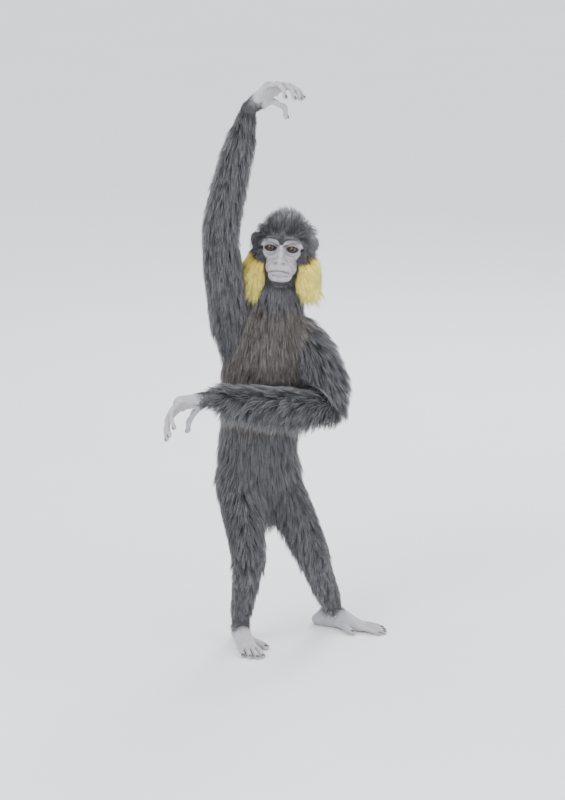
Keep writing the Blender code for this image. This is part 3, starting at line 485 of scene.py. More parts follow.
WHISKER_PAD_TURN = (-14, -16)


def on_side(point, side):
    return Vector((point[0] * side, point[1], point[2]))


def turned_out(turn, side):
    """A turn in degrees about the head's y and z, mirrored on the other side."""
    return Euler((0, math.radians(turn[0]) * side, math.radians(turn[1]) * side))


def bell(distance, reach, power=2):
    """1 where there is no distance, and close to 0 beyond the reach."""
    return np.exp(-((distance / reach) ** power))


def mouth_line(rise, out, count=15):
    """Points along the closed mouth on the muzzle's front. Its corners droop."""
    points = []
    for k in range(count):
        x = MOUTH_HALF_WIDTH * (2 * k / (count - 1) - 1)
        z = MOUTH_HEIGHT + rise - MOUTH_DROOP * (x / MOUTH_HALF_WIDTH) ** 2
        flat = 1 - (x / MUZZLE_HALF[0]) ** 2 - ((z - MUZZLE_CENTRE[2]) / MUZZLE_HALF[2]) ** 2
        reach = MUZZLE_HALF[1] * math.sqrt(max(flat, 0.02))
        points.append((x, MUZZLE_CENTRE[1] - reach - out, z))
    return points


def ridge(points, radii, sides=12):
    """A thin tube through the points, its ends thinner where two radii are given."""
    spread = np.interp(np.linspace(-1, 1, len(points)), (-1, 0, 1), (radii[1], radii[0], radii[1]))
    line = [(*p, r) for p, r in zip(points, spread)]
    return tube(line, 6 * len(points), sides, across=(0, 0, 1))


brow = [(-0.034, -0.031, 0.014), (-0.018, -0.0470, 0.0225), (0, -0.0475, 0.0195)]
brow += [(-x, y, z) for x, y, z in brow[1::-1]]
head_shells = [
    ball(CRANIUM_PLACE, CRANIUM_HALF, segments=40, rings=28),
    ball((0, -0.014, 0.000), (0.0335, 0.031, 0.033)),
    ball((0, -0.004, -0.024), (0.033, 0.033, 0.023)),
    ball(MUZZLE_CENTRE, MUZZLE_HALF, segments=36, rings=24),
    ball((0, -0.029, -0.037), (0.0205, 0.023, 0.0145)),
    ball((0, -0.0465, 0.000), (0.0060, 0.009, 0.018)),
    ball((0, -0.0575, -0.0110), (0.0066, 0.0058, 0.0056)),
    ridge(brow, (0.0052, 0.0046)),
    ridge(mouth_line(0.0032, -0.0014), (0.0036, 0.0026)),
    ridge(mouth_line(-0.0036, -0.0020), (0.0037, 0.0026)),
]
for side in (-1, 1):
    pad_turn = turned_out(WHISKER_PAD_TURN, side)
    head_shells += [
        ball(on_side((0.027, -0.028, -0.003), side), (0.0115, 0.013, 0.0085)),
        ball(on_side((0.0072, -0.0550, -0.0130), side), (0.0056, 0.0062, 0.0050)),
        ball(on_side(EYE_PLACE, side), [EYE_RADIUS + LID_THICKNESS] * 3),
        ball(on_side(WHISKER_PAD_PLACE, side), WHISKER_PAD_HALF, pad_turn),
    ]
head = melted("head_skin", head_shells, HEAD_VOXEL, 5)

# The front of the face gets four faces for each one, so that it can hold lids and fine folds.
work = for_work(head.data)
middles = [face.calc_center_median() for face in work.faces]
fine = [c.y < -0.026 and abs(c.x) < 0.034 and -0.048 < c.z < 0.026 for c in middles]
front = [face for face, is_fine in zip(work.faces, fine) if is_fine]
edges = list({edge for face in front for edge in face.edges})
bmesh.ops.subdivide_edges(work, edges=edges, cuts=1, use_grid_fill=True, smooth=0.3)
bmesh.ops.triangulate(work, faces=work.faces)
done_with(work, head.data)


def arc(centre, half, start, stop, count=12):
    """Points x, z on an arc of an ellipse, angles in degrees from the animal's outer side."""
    for angle in np.radians(np.linspace(start, stop, count)):
        yield centre[0] + half[0] * math.cos(angle), centre[1] + half[1] * math.sin(angle)


eye = (EYE_PLACE.x, EYE_PLACE.z)
FOLDS = (
    ([*arc(eye, (0.0114, 0.0088), 15, 165)], 0.0008, 0.0011),
    ([*arc(eye, (0.0114, 0.0090), 198, 342)], 0.0007, 0.0008),
    ([*arc(eye, (0.0130, 0.0128), 205, 335)], 0.0009, 0.0007),
    ([*arc((0.0165, 0.0055), (0.0135, 0.0170), 218, 322)], 0.0009, 0.0005),
    ([(0.0300, 0.0100), (0.0335, 0.0125)], 0.0006, 0.0006),
    ([(0.0302, 0.0080), (0.0340, 0.0080)], 0.0006, 0.0006),
    ([(0.0298, 0.0058), (0.0332, 0.0032)], 0.0006, 0.0006),
    ([(0.011, -0.0085), (0.015, -0.015), (0.020, -0.0215), (0.0222, -0.030)], 0.0012, 0.0009),
    ([(0.0245, -0.0080), (0.0268, -0.0170), (0.0262, -0.0270)], 0.0010, 0.0006),
    ([(0.0036, 0.0220), (0.0028, 0.0160), (0.0040, 0.0110)], 0.0007, 0.0008),
    ([(0.0000, 0.0075), (0.0045, 0.0068)], 0.0006, 0.0006),
    ([(0.0000, 0.0052), (0.0050, 0.0040)], 0.0006, 0.0005),
    ([(0.0000, -0.0385), (0.0070, -0.0378), (0.0120, -0.0360)], 0.0013, 0.0009),
    ([(0.0018, -0.0185), (0.0024, -0.0235)], 0.0007, 0.0005),
)


def away_from(points, line):
    """Distance of each x, z pair from a broken line."""
    best = np.full(len(points), 1.0)
    for a, b in zip(np.array(line[:-1]), np.array(line[1:])):
        share = np.clip(((points - a) @ (b - a)) / ((b - a) @ (b - a)), 0, 1)
        best = np.minimum(best, np.linalg.norm(points - a - share[:, None] * (b - a), axis=1))
    return best


def fold_depth(points):
    """How deep the face's folds lie at points of the head's frame."""
    flat = np.column_stack([np.abs(points[:, 0]), points[:, 2]])
    depth = np.zeros(len(points))
    for line, width, deep in FOLDS:
        depth = np.maximum(depth, deep * bell(away_from(flat, line), width))
    return depth * np.clip((-0.022 - points[:, 1]) / 0.004, 0, 1)


points, normals = numbers(head.data.vertices), numbers(head.data.vertices, "normal")
put_back(head.data, points - normals * fold_depth(points)[:, None])


def eye_slit(place, count=40):
    """An almond prism that opens the lids in front of one eye."""
    outline = []
    for turn in np.arange(count) * 2 * math.pi / count:
        tall = LID_OPENING[1] * math.sin(turn) * (0.7 + 0.3 * abs(math.sin(turn)))
        outline.append(place + Vector((LID_OPENING[0] * math.cos(turn), 0, tall)))
    points = [p + Vector((0, -0.030, 0)) for p in outline] + outline
    faces = [tuple(range(count)), tuple(range(2 * count - 1, count - 1, -1))]
    for k in range(count):
        n = (k + 1) % count
        faces.append((n, k, count + k, count + n))
    return points, faces


cuts = [ridge(mouth_line(-0.0002, 0.0008, 21), (0.0011, 0.0009), 10)]
for side in (-1, 1):
    place = on_side(EYE_PLACE, side)
    cuts.append(ball(place, [EYE_RADIUS + 0.0002] * 3, segments=48, rings=32))
    cuts.append(eye_slit(place))
    nostril_place = on_side((NOSTRIL[0], -0.0612, NOSTRIL[1]), side)
    nostril_turn = Euler((math.radians(25), 0, math.radians(24) * side))
    cuts.append(ball(nostril_place, (0.0021, 0.0040, 0.0017), nostril_turn))
combined(head, "DIFFERENCE", [as_object("cut", *cut) for cut in cuts])

# Lid rims, lips and nostrils are rounded where they were cut.
work = for_work(head.data)
bmesh.ops.triangulate(work, faces=work.faces)
corners = np.array([v.co for v in work.verts])
flat = np.column_stack([np.abs(corners[:, 0]), corners[:, 2]])
almond = [(p.x, p.z) for p in eye_slit(EYE_PLACE)[0][:40]]
almond += almond[:1]
near_rim = away_from(flat, almond) < 0.0011
near_lips = away_from(flat, [(p[0], p[2]) for p in mouth_line(0, 0)][7:]) < 0.0022
near_nose = np.linalg.norm(flat - NOSTRIL, axis=1) < 0.0034
rounded_off = (near_rim | near_lips | near_nose) & (corners[:, 1] < -0.03)
chosen = [v for v, soft in zip(work.verts, rounded_off) if soft]
axes = {f"use_axis_{axis}": True for axis in "xyz"}
for _ in range(3):
    bmesh.ops.smooth_vert(work, verts=chosen, factor=0.4, **axes)
done_with(work, head.data)


# The ears: small, rounded and bare, a rolled rim round a hollow with one inner fold. They stand
# well off the head, half hidden by the fur of the crown.
EAR_PLACE = Vector((0.0470, 0.0060, 0.0150))
EAR_HALF = (0.0045, 0.0110, 0.0150)
EAR_TURN = (12, -62)
EAR_VOXEL = 0.0007


def ear(side):
    shell = as_object("ear", *ball((0, 0, 0), EAR_HALF, segments=32, rings=20))
    hollow = (EAR_HALF[0] * 1.1, EAR_HALF[1] * 0.76, EAR_HALF[2] * 0.80)
    cup = as_object("cup", *ball((side * EAR_HALF[0], 0, 0), hollow, segments=32, rings=20))
    combined(shell, "DIFFERENCE", [cup])
    plate = (numbers(shell.data.vertices), [tuple(p.vertices) for p in shell.data.polygons])
    bpy.data.objects.remove(shell)
    rim, inner = [], []
    for angle in np.radians(np.linspace(-70, 235, 18)):
        rim.append((side * 0.0022, 0.0098 * math.cos(angle), 0.0136 * math.sin(angle)))
    for angle in np.radians(np.linspace(-50, 150, 12)):
        inner.append((side * 0.0008, 0.0022 + 0.0052 * math.cos(angle), 0.0078 * math.sin(angle)))
    shells = [
        plate,
        ridge(rim, (0.0013, 0.0009), 10),
        ridge(inner, (0.0011, 0.0007), 10),
        ball((side * 0.0022, -0.0082, -0.0020), (0.0018, 0.0024, 0.0032)),
        ball((side * 0.0005, -0.0010, -0.0128), (0.0024, 0.0052, 0.0034)),
    ]
    made = melted("ear", shells, EAR_VOXEL, 3, kept=0.5)
    turn = turned_out(EAR_TURN, side).to_matrix().to_4x4()
    made.data.transform(Matrix.Translation(on_side(EAR_PLACE, side)) @ turn)
    return made


SKIN_TRIANGLES = 188000
combined(head, "UNION", [ear(-1), ear(1)])
head.data.transform(HEAD_PLACED)
neck_top = melted("neck_top", [tube(LIMBS["neck"][1:], 12, 28, grow=0.0004)], 0.002, 2)
extremities = [head, neck_top, hand_right, hand_left, foot_right, foot_left]
skin = combined(body, "UNION", extremities)
skin.name = skin.data.name = "skin"
skin.data.calc_loop_triangles()
share = min(1.0, SKIN_TRIANGLES / len(skin.data.loop_triangles))
modified(skin, "DECIMATE", ratio=share, use_collapse_triangulate=True)
baked(skin)


# The markings, which skin and coat share. The face is bare from the brows to the chin, with a
# peak of fur between the brows, and so are ears, hands and feet. The cheeks are golden.
FACE_HEIGHTS = (-0.052, -0.046, -0.036, -0.024, -0.010, -0.002, 0.006, 0.014, 0.022, 0.0275)
FACE_WIDTHS = (0.000, 0.021, 0.0295, 0.0315, 0.0275, 0.031, 0.0365, 0.0370, 0.032, 0.015)
BROW_HEIGHT = 0.0258
BROW_PEAK = 0.0090
CHIN_HEIGHT = -0.049
EAR_REACH = (0.0068, 0.0125, 0.0165)
WRIST_BARE = 0.006
ANKLE_BARE = 0.042
LIMB_ENDS = {"forearm_right": 0.17, "forearm_left": 0.17, "shank_right": 0.14, "shank_left": 0.14}


def in_head(points):
    """Plan points in the head's own frame."""
    return (points - np.array(HEAD_CENTRE)) @ np.array(HEAD_TURN.to_matrix()) / HEAD_SCALE


def inside_face(local):
    """How far inside the bare face a point of the head's frame lies, less than 0 outside it."""
    x, y, z = np.abs(local[:, 0]), local[:, 1], local[:, 2]
    top = BROW_HEIGHT - BROW_PEAK * bell(x, 0.006)
    sides = np.interp(z, FACE_HEIGHTS, FACE_WIDTHS) - x
    rear = -0.021 - 0.008 * np.clip((z + 0.006) / 0.006, 0, 1)
    return np.minimum.reduce([sides, top - z, z - CHIN_HEIGHT, rear - y])


def inside_egg(local, place, turn, half, size=1.0):
    """From 1 in the middle of an ellipsoid on either side of the head down to 0 at its rim."""
    best = np.full(len(local), -1.0)
    for side in (-1, 1):
        own = local - np.array(on_side(place, side))
        own = own @ np.array(turned_out(turn, side).to_matrix())
        best = np.maximum(best, 1 - np.linalg.norm(own / half, axis=1) / size)
    return best


def inside_ear(local):
    return inside_egg(local, EAR_PLACE, EAR_TURN, EAR_REACH)


def inside_hands(points):
    """How far beyond a wrist or an ankle a point lies, near that hand or foot only."""
    best = np.full(len(points), -1.0)
    for name, reach in LIMB_ENDS.items():
        end, before = (np.array(station[:3]) for station in LIMBS[name][:-3:-1])
        past = (points - end) @ unit(end - before) + WRIST_BARE
        if name.startswith("shank"):
            past = np.maximum(past, ANKLE_BARE - points[:, 2])
        near = np.linalg.norm(points - end, axis=1) < reach
        best = np.where(near, np.maximum(best, past), best)
    return best


def store(mesh, name, values):
    """Keeps one number or one vector for each point of a mesh."""
    kind, key = ("FLOAT", "value") if values.ndim == 1 else ("FLOAT_VECTOR", "vector")
    kept = mesh.attributes.new(name, kind, "POINT")
    kept.data.foreach_set(key, values.astype(np.float32).ravel())


skin_points = numbers(skin.data.vertices)
head_points = in_head(skin_points)
in_face, in_ear = inside_face(head_points), inside_ear(head_points)
past_end = inside_hands(skin_points)
bare = np.clip(np.maximum.reduce([in_face / 0.0015, in_ear * 12, past_end / 0.003]), 0, 1)
gold = inside_egg(head_points, WHISKER_PAD_PLACE, WHISKER_PAD_TURN, WHISKER_PAD_HALF, 1.16)
gold_top = -0.019 + 0.021 * np.clip((head_points[:, 1] + 0.030) / 0.030, 0, 1)
gold = np.clip(gold * 10, 0, 1) * (in_face < 0) * (head_points[:, 2] < gold_top)
flat = head_points[:, [0, 2]]
mirrored = np.column_stack([np.abs(flat[:, 0]), flat[:, 1]])
on_face = in_face > -0.004
from_mouth = away_from(flat, [(p[0], p[2]) for p in mouth_line(0, 0)])
lips, mouth = bell(from_mouth, 0.0034), bell(from_mouth, 0.0011) * on_face
lid_rims = bell(away_from(mirrored, almond), 0.0013) * on_face
eye_ring = bell(np.linalg.norm(mirrored - eye, axis=1), 0.0125, 4)
nose = bell(np.linalg.norm(mirrored - NOSTRIL, axis=1), 0.0050)
# The shade field: darker round the eyes and nostrils, on lips, lid rims and ears, and painted shade
# in the face's folds and along the mouth's groove.
shade = np.maximum.reduce([eye_ring * 0.40, lips * 0.45, nose * 0.6]) * on_face
shade = np.maximum(shade, fold_depth(head_points) / 0.0018 * on_face)
shade = np.maximum.reduce([shade, mouth * 1.2, lid_rims * 1.2])
shade = np.maximum(shade, np.clip(in_ear * 8, 0, 1) * 0.75)
store(skin.data, "bare", bare)
store(skin.data, "gold", gold)
store(skin.data, "shade", np.clip(shade, 0, 1))


# The skin's finish. Bare gibbon skin is slate grey, dry and finely creased like soft leather, and
# darker on lips, lids and ears. The darkening in its folds, its fine creases and the groove of the
# mouth is painted shade. Under the fur it is as dark as the hair's roots.
SLATE = (0.455, 0.450, 0.475, 1)
SLATE_BLOTCH = (0.290, 0.270, 0.290, 1)
SLATE_CREASE_SHADE = (0.185, 0.175, 0.190, 1)
SLATE_DARK = (0.075, 0.070, 0.078, 1)
FUR_BLACK = (0.012, 0.012, 0.013, 1)
GOLD_ROOT = (0.40, 0.24, 0.06, 1)
CREASES_PER_METRE = 520.0
FLOAT, COLOUR, VECTOR = "NodeSocketFloat", "NodeSocketColor", "NodeSocketVector"


def add(tree, kind, inputs=None, **settings):
    """One node with its settings and what goes into its inputs: values or sockets."""
    made = tree.nodes.new(kind)
    for key, value in settings.items():
        setattr(made, key, value)
    for key, value in (inputs or {}).items():
        if isinstance(value, bpy.types.NodeSocket):
            tree.links.new(value, made.inputs[key])
        else:
            made.inputs[key].default_value = value
    return made


def mixed(tree, share, first, second, blend="MIX"):
    ends = {0: share, 6: first, 7: second}
    return add(tree, "ShaderNodeMix", ends, data_type="RGBA", blend_type=blend).outputs[2]


def maths(tree, operation, *values, clamp=False):
    ends = dict(enumerate(values))
    return add(tree, "ShaderNodeMath", ends, operation=operation, use_clamp=clamp).outputs[0]


def vector(tree, operation, *values, output=0):
    ends = dict(enumerate(values))
    return add(tree, "ShaderNodeVectorMath", ends, operation=operation).outputs[output]


def ranged(tree, value, *limits):
    """The value, taken from one range to another: from low, from high, to low, to high."""
    return add(tree, "ShaderNodeMapRange", dict(enumerate((value, *limits)))).outputs[0]


def noise(tree, place, scale, detail=2.0, roughness=0.5, output="Fac"):
    ends = {"Vector": place, "Scale": scale, "Detail": detail, "Roughness": roughness}
    return add(tree, "ShaderNodeTexNoise", ends).outputs[output]


def field(tree, name):
    """A number that the mesh keeps for each point."""
    return add(tree, "ShaderNodeAttribute", attribute_name=name).outputs["Fac"]


def own_place(tree):
    return add(tree, "ShaderNodeTexCoord").outputs["Object"]


def raised(tree, shader, height, strength, distance):
    ends = {"Height": height, "Strength": strength, "Distance": distance}
    tree.links.new(add(tree, "ShaderNodeBump", ends).outputs["Normal"], shader.inputs["Normal"])


def new_finish(name, constants):
    """A material with the constants of its shader: itself, its tree and the shader."""
    material = bpy.data.materials.new(name)
    material.use_nodes = True
    shader = material.node_tree.nodes["Principled BSDF"]
    for key, value in constants.items():
        shader.inputs[key].default_value = value
    return material, material.node_tree, shader


def new_group(name, inputs, outputs, tree_type="ShaderNodeTree"):
    """A node group: itself, the sockets that feed it and the node that takes its results."""
    group = bpy.data.node_groups.new(name, tree_type)
    for label, kind, *value in inputs:
        socket = group.interface.new_socket(label, in_out="INPUT", socket_type=kind)
        if value:
            socket.default_value = value[0]
    for label, kind in outputs:
        group.interface.new_socket(label, in_out="OUTPUT", socket_type=kind)
    return group, group.nodes.new("NodeGroupInput").outputs, group.nodes.new("NodeGroupOutput")


creases, given, result = new_group(
    "fine_creases",
    [("Vector", VECTOR, (0, 0, 0)), ("Cells per metre", FLOAT, 500.0), ("Wander", FLOAT, 0.0012)],
    [("Height", FLOAT), ("Mottle", FLOAT)],
)
wander = noise(creases, given["Vector"], 160.0, output="Color")
wander = vector(creases, "SUBTRACT", wander, (0.5, 0.5, 0.5))
ends = {0: wander, "Scale": given["Wander"]}
wander = add(creases, "ShaderNodeVectorMath", ends, operation="SCALE").outputs[0]
moved = vector(creases, "ADD", given["Vector"], wander)
ends = {"Vector": moved, "Scale": given["Cells per metre"]}
cells = add(creases, "ShaderNodeTexVoronoi", ends, feature="DISTANCE_TO_EDGE")
plump = maths(creases, "MULTIPLY", cells.outputs["Distance"], 2.4, clamp=True)
grain = noise(creases, given["Vector"], 1400.0, 3.0)
height = maths(creases, "MULTIPLY_ADD", grain, 0.25, plump)
mottle = noise(creases, given["Vector"], 60.0, 5.0, 0.6)
creases.links.new(height, result.inputs["Height"])
creases.links.new(mottle, result.inputs["Mottle"])

slate_skin, tree, shader = new_finish("slate_skin", {"Specular IOR Level": 0.28})
ends = {"Vector": own_place(tree), "Cells per metre": CREASES_PER_METRE}
fine = add(tree, "ShaderNodeGroup", ends, node_tree=creases).outputs
toned = mixed(tree, ranged(tree, fine["Mottle"], 0.35, 0.68, 0.0, 0.5), SLATE, SLATE_BLOTCH)
# Painted shade: the skin is darker in the low lines of its fine creases.
crease_shade = maths(tree, "MULTIPLY_ADD", fine["Height"], -0.45, 0.42, clamp=True)
toned = mixed(tree, crease_shade, toned, SLATE_CREASE_SHADE)
# The skin darkens with its shade field: painted shade in the face's folds and the mouth's groove,
# and darker round the eyes and nostrils, on lips, lid rims and ears.
toned = mixed(tree, maths(tree, "MULTIPLY", field(tree, "shade"), 0.85), toned, SLATE_DARK)
under_fur = mixed(tree, field(tree, "gold"), FUR_BLACK, GOLD_ROOT)
toned = mixed(tree, field(tree, "bare"), under_fur, toned)
tree.links.new(toned, shader.inputs["Base Color"])
dry = ranged(tree, fine["Mottle"], 0.3, 0.7, 0.54, 0.70)
tree.links.new(dry, shader.inputs["Roughness"])
raised(tree, shader, fine["Height"], 0.40, 0.0005)

skin.data.materials.clear()
skin.data.materials.append(slate_skin)
skin.data.polygons.foreach_set("material_index", np.zeros(len(skin.data.polygons), np.int32))
skin.data.shade_smooth()


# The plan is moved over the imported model: the eyes of the one lie on the eyes of the other.
def middle_of(node):
    low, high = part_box(node)
    return (Vector(low) + Vector(high)) / 2


eyes_seen = (middle_of("eye_left") + middle_of("eye_right")) / 2
eyes_meant = HEAD_PLACED @ Vector((0, EYE_PLACE.y, EYE_PLACE.z))
PLAN_SHIFT = eyes_seen - eyes_meant
PLAN_SHIFT.z = 0
shift = np.array(PLAN_SHIFT)
put_back(skin.data, skin_points + shift)
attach(skin, "root")
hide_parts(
    *("head", "neck", "chest", "abdomen", "ear_right", "ear_left"),
    *("upper_arm_right", "upper_arm_left", "forearm_right", "forearm_left"),
    *("hand_right", "hand_left", "thigh_right", "thigh_left"),
    *("shank_right", "shank_left", "foot_right", "foot_left"),
)


# The eyes: dark brown irises that fill the lids, with almost no white, under a clear wet cornea
# that bulges a little. They look straight ahead of the head.
IRIS_RADIUS = 0.0068
PUPIL_RADIUS = 0.0028
CORNEA_BULGE = 0.0008
IRIS_DARK = (0.010, 0.006, 0.005, 1)
IRIS_BROWN = (0.066, 0.038, 0.027, 1)
PUPIL_BLACK = (0.002, 0.002, 0.002, 1)
SCLERA_DARK = (0.060, 0.044, 0.038, 1)
SCLERA_PALE = (0.130, 0.104, 0.092, 1)


def store_uv(mesh, name, places):
    """Keeps one flat place for each corner of a mesh."""
    layer = mesh.uv_layers.new(name=name)
    layer.data.foreach_set("uv", places.astype(np.float32).ravel())


def eyeball(side, word):
    points, faces = ball((0, 0, 0), [EYE_RADIUS] * 3, Euler((math.pi / 2, 0, 0)), 48, 36)
    across = np.linalg.norm(points[:, [0, 2]], axis=1)
    bulge = CORNEA_BULGE * np.clip(1 - (across / IRIS_RADIUS) ** 2, 0, 1) * (points[:, 1] < 0)
    points = points + unit(points) * bulge[:, None]
    obj = as_object(f"eyeball_{word}", points, faces)
    corner_of = numbers(obj.data.loops, "vertex_index", 1, np.int32)[:, 0]
    store_uv(obj.data, "iris", points[corner_of][:, [0, 2]] / (2 * EYE_RADIUS) + 0.5)
    obj.data.transform(Matrix.Translation(on_side(EYE_PLACE, side)))
    obj.data.transform(Matrix.Translation(PLAN_SHIFT) @ HEAD_PLACED)
    obj.data.shade_smooth()
    return obj


wet = {"Roughness": 0.15, "Specular IOR Level": 0.2, "Coat Weight": 0.45, "Coat Roughness": 0.02}
dark_brown_eye, tree, shader = new_finish("dark_brown_eye", wet)
spot = add(tree, "ShaderNodeUVMap", uv_map="iris").outputs["UV"]
centred = vector(tree, "SUBTRACT", spot, (0.5, 0.5, 0.0))
away = vector(tree, "LENGTH", centred, output=1)
rays = noise(tree, vector(tree, "NORMALIZE", centred), 9.0, 6.0)
iris_edge, pupil_edge = IRIS_RADIUS / (2 * EYE_RADIUS), PUPIL_RADIUS / (2 * EYE_RADIUS)
rayed = mixed(tree, rays, IRIS_DARK, IRIS_BROWN)
rayed = mixed(tree, ranged(tree, away, iris_edge * 0.72, iris_edge), rayed, IRIS_DARK)
pupil = ranged(tree, away, pupil_edge, pupil_edge * 1.2, 1.0, 0.0)
rayed = mixed(tree, pupil, rayed, PUPIL_BLACK)
sclera = mixed(tree, noise(tree, centred, 30.0, 4.0), SCLERA_DARK, SCLERA_PALE)
white = ranged(tree, away, iris_edge, iris_edge * 1.10)
tree.links.new(mixed(tree, white, rayed, sclera), shader.inputs["Base Color"])
for side, word in ((-1, "right"), (1, "left")):
    eyeball_made = eyeball(side, word)
    eyeball_made.data.materials.append(dark_brown_eye)
    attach(eyeball_made, "root")
    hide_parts(f"eye_{word}")


# The nails: dark horn, curved across and along, one on each finger and toe. They grow out of the
# skin over the last bone and end just past the tip.
NAIL_LENGTH = 0.0068
NAIL_ARC = math.radians(52)
NAIL_THICKNESS = 0.0006
HORN_DARK = (0.030, 0.024, 0.022, 1)
HORN_BROWN = (0.105, 0.088, 0.080, 1)
HORN_WORN = (0.26, 0.22, 0.18, 1)


def nail(tip, heading, back, radius):
    """A closed curved plate over a fingertip: points, faces and the share along each point."""
    heading, back = np.array(heading.normalized()), np.array(back.normalized())
    level = np.cross(heading, back)
    points, share_along = [], []
    rows, columns = 8, 9
    size = rows * columns
    for layer in (0, 1):
        for r in range(rows):
            share = r / (rows - 1)
            base = np.array(tip) + heading * (NAIL_LENGTH * (share - 0.62) + radius * 0.35)
            shrink = 1.0 - 0.10 * share - 0.30 * max(0.0, share - 0.55)
            for c in range(columns):
                turn = NAIL_ARC * (2 * c / (columns - 1) - 1) * (1 - 0.25 * abs(share - 0.45))
                stand = radius * (1.02 + 0.06 * math.sin(share * math.pi)) * shrink
                stand += NAIL_THICKNESS * (0.55 if layer else -0.45)
                points.append(base + back * stand * math.cos(turn) + level * stand * math.sin(turn))
                share_along.append(share)
    faces = []
    for a in range(size - columns):
        if a % columns < columns - 1:
            b = a + size
            faces.append((a, a + 1, a + columns + 1, a + columns))
            faces.append((b, b + columns, b + columns + 1, b + 1))
    border = [*range(columns)] + [r * columns + columns - 1 for r in range(1, rows)]
    border += [*range(size - 2, size - columns - 1, -1)]
    border += [r * columns for r in range(rows - 2, 0, -1)]
    for a, b in zip(border, border[1:] + border[:1]):
        faces.append((a, a + size, b + size, b))
    return points, faces, share_along


points, faces, shares = [], [], []
for spot in nail_places:
    plate, plate_faces, share = nail(*spot)
    faces += [tuple(len(points) + i for i in face) for face in plate_faces]
    points += plate
    shares += share
nails = as_object("nails", np.array(points) + shift, faces)
work = for_work(nails.data)
bmesh.ops.recalc_face_normals(work, faces=work.faces)
done_with(work, nails.data)
store(nails.data, "along", np.array(shares))
horn, tree, shader = new_finish("dark_horn", {"Roughness": 0.34, "Coat Weight": 0.25})
streaks = noise(tree, own_place(tree), 420.0, 3.0)
worn = ranged(tree, field(tree, "along"), 0.70, 1.0, 0.0, 0.65)
horned = mixed(tree, worn, mixed(tree, streaks, HORN_DARK, HORN_BROWN), HORN_WORN)
tree.links.new(horned, shader.inputs["Base Color"])
raised(tree, shader, streaks, 0.2, 0.0003)
nails.data.materials.append(horn)
nails.data.shade_smooth()
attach(nails, "root")


# The coat: dense, soft and long, black with a silvery sheen. Each tuft is a thin tapered solid that
# leaves the skin, bends over along the lie of the hair, and leans to its neighbours at the tip.
TUFTS_PER_AREA = 178000
TRUNK_SPLIT = 0.47
THROAT_BROWN = 0.38
CLUMP_OF = 13
rng = np.random.default_rng(11)
lines = {name: along(line, 40) for name, line in LIMBS.items()}
lines["head"] = np.array([(*(HEAD_PLACED @ Vector((0, 0.006, 0.003))), 0.047, 0.047)])
end_ways = {name: unit(lines[name][-1, :3] - lines[name][-8, :3]) for name in LIMB_ENDS}
STRAIGHT_DOWN = (0.0, 0.05, -1.0)
HANG = {
    "upper_arm_left": (0.25, 0.00, -0.97),
    "forearm_left": (-0.30, 0.00, -0.95),
    "thigh_right": (0.00, 0.15, -1.00),
    "thigh_left": (0.00, 0.15, -1.00),
    "shank_right": (0.00, 0.25, -1.00),
    "shank_left": (0.05, 0.25, -1.00),
}
COAT = {
    "trunk": (0.054, 0.020),
    "neck": (0.044, 0.017),
    "head": (0.034, 0.012),
    "upper_arm_right": (0.048, 0.016),
    "forearm_right": (0.046, 0.017),
    "upper_arm_left": (0.048, 0.025),
    "forearm_left": (0.042, 0.018),
    "thigh_right": (0.044, 0.015),
    "thigh_left": (0.044, 0.014),
    "shank_right": (0.034, 0.009),
    "shank_left": (0.034, 0.009),
}


def where_on_body(points):
    """Which line each point grows on, how far along it lies and at what angle round it."""
    every, best = np.arange(len(points)), np.full(len(points), np.inf)
    owner = np.full(len(points), "", "U16")
    share, turn = np.zeros(len(points)), np.zeros(len(points))
    for name, rows in lines.items():
        gaps = points[:, None, :] - rows[None, :, :3]
        score = np.linalg.norm(gaps, axis=2) / rows[None, :, 3]
        nearest = score.argmin(axis=1)
        score = score[every, nearest]
        if name == "head":
            own = in_head(points)
            angle = np.arctan2(own[:, 0], own[:, 1])
            steep = np.arctan2(own[:, 2], np.linalg.norm(own[:, :2], axis=1))
            reach = steep / math.pi + 0.5
        else:
            tangent = unit(np.gradient(rows[:, :3], axis=0))[nearest]
            side = unit(np.array((1.0, 0, 0)) - tangent * tangent[:, :1])
            out = gaps[every, nearest]
            angle = np.arctan2((out * side).sum(1), -(out * np.cross(side, tangent)).sum(1))
            reach = nearest / (len(rows) - 1)
        closer = score < best
        best[closer], owner[closer], share[closer] = score[closer], name, reach[closer]
        turn[closer] = (angle / (2 * math.pi) + 0.5)[closer]
    return owner, share, turn


skin_facing = numbers(skin.data.vertices, "normal")
skin_corners = numbers(skin.data.polygons, "vertices", 3, np.int32)
ground = BVHTree.FromPolygons([Vector(p) for p in skin_points], skin_corners.tolist())


def scattered(wanted, density):
    """Random spots on the skin, as many to the area as wanted says, and normals."""
    a, b, c = (skin_points[skin_corners[:, k]] for k in range(3))
    areas = np.linalg.norm(np.cross(b - a, c - a), axis=1) / 2
    areas = areas * wanted[skin_corners].mean(axis=1)
    chosen = rng.choice(len(areas), int(areas.sum() * density), p=areas / areas.sum())
    u, v = rng.random(len(chosen)), rng.random(len(chosen))
    over = u + v > 1
    u[over], v[over] = 1 - u[over], 1 - v[over]
    weights = np.column_stack([1 - u - v, u, v])[:, :, None]
    spots = (skin_points[skin_corners[chosen]] * weights).sum(axis=1)
    return spots, unit((skin_facing[skin_corners[chosen]] * weights).sum(axis=1))


def nearest_skin(points):
    """For each point the nearest spot of the skin, and the way that the skin faces there."""
    found = [ground.find_nearest(Vector(p))[:2] for p in points]
    return np.array([f[0] for f in found]), np.array([f[1] for f in found])


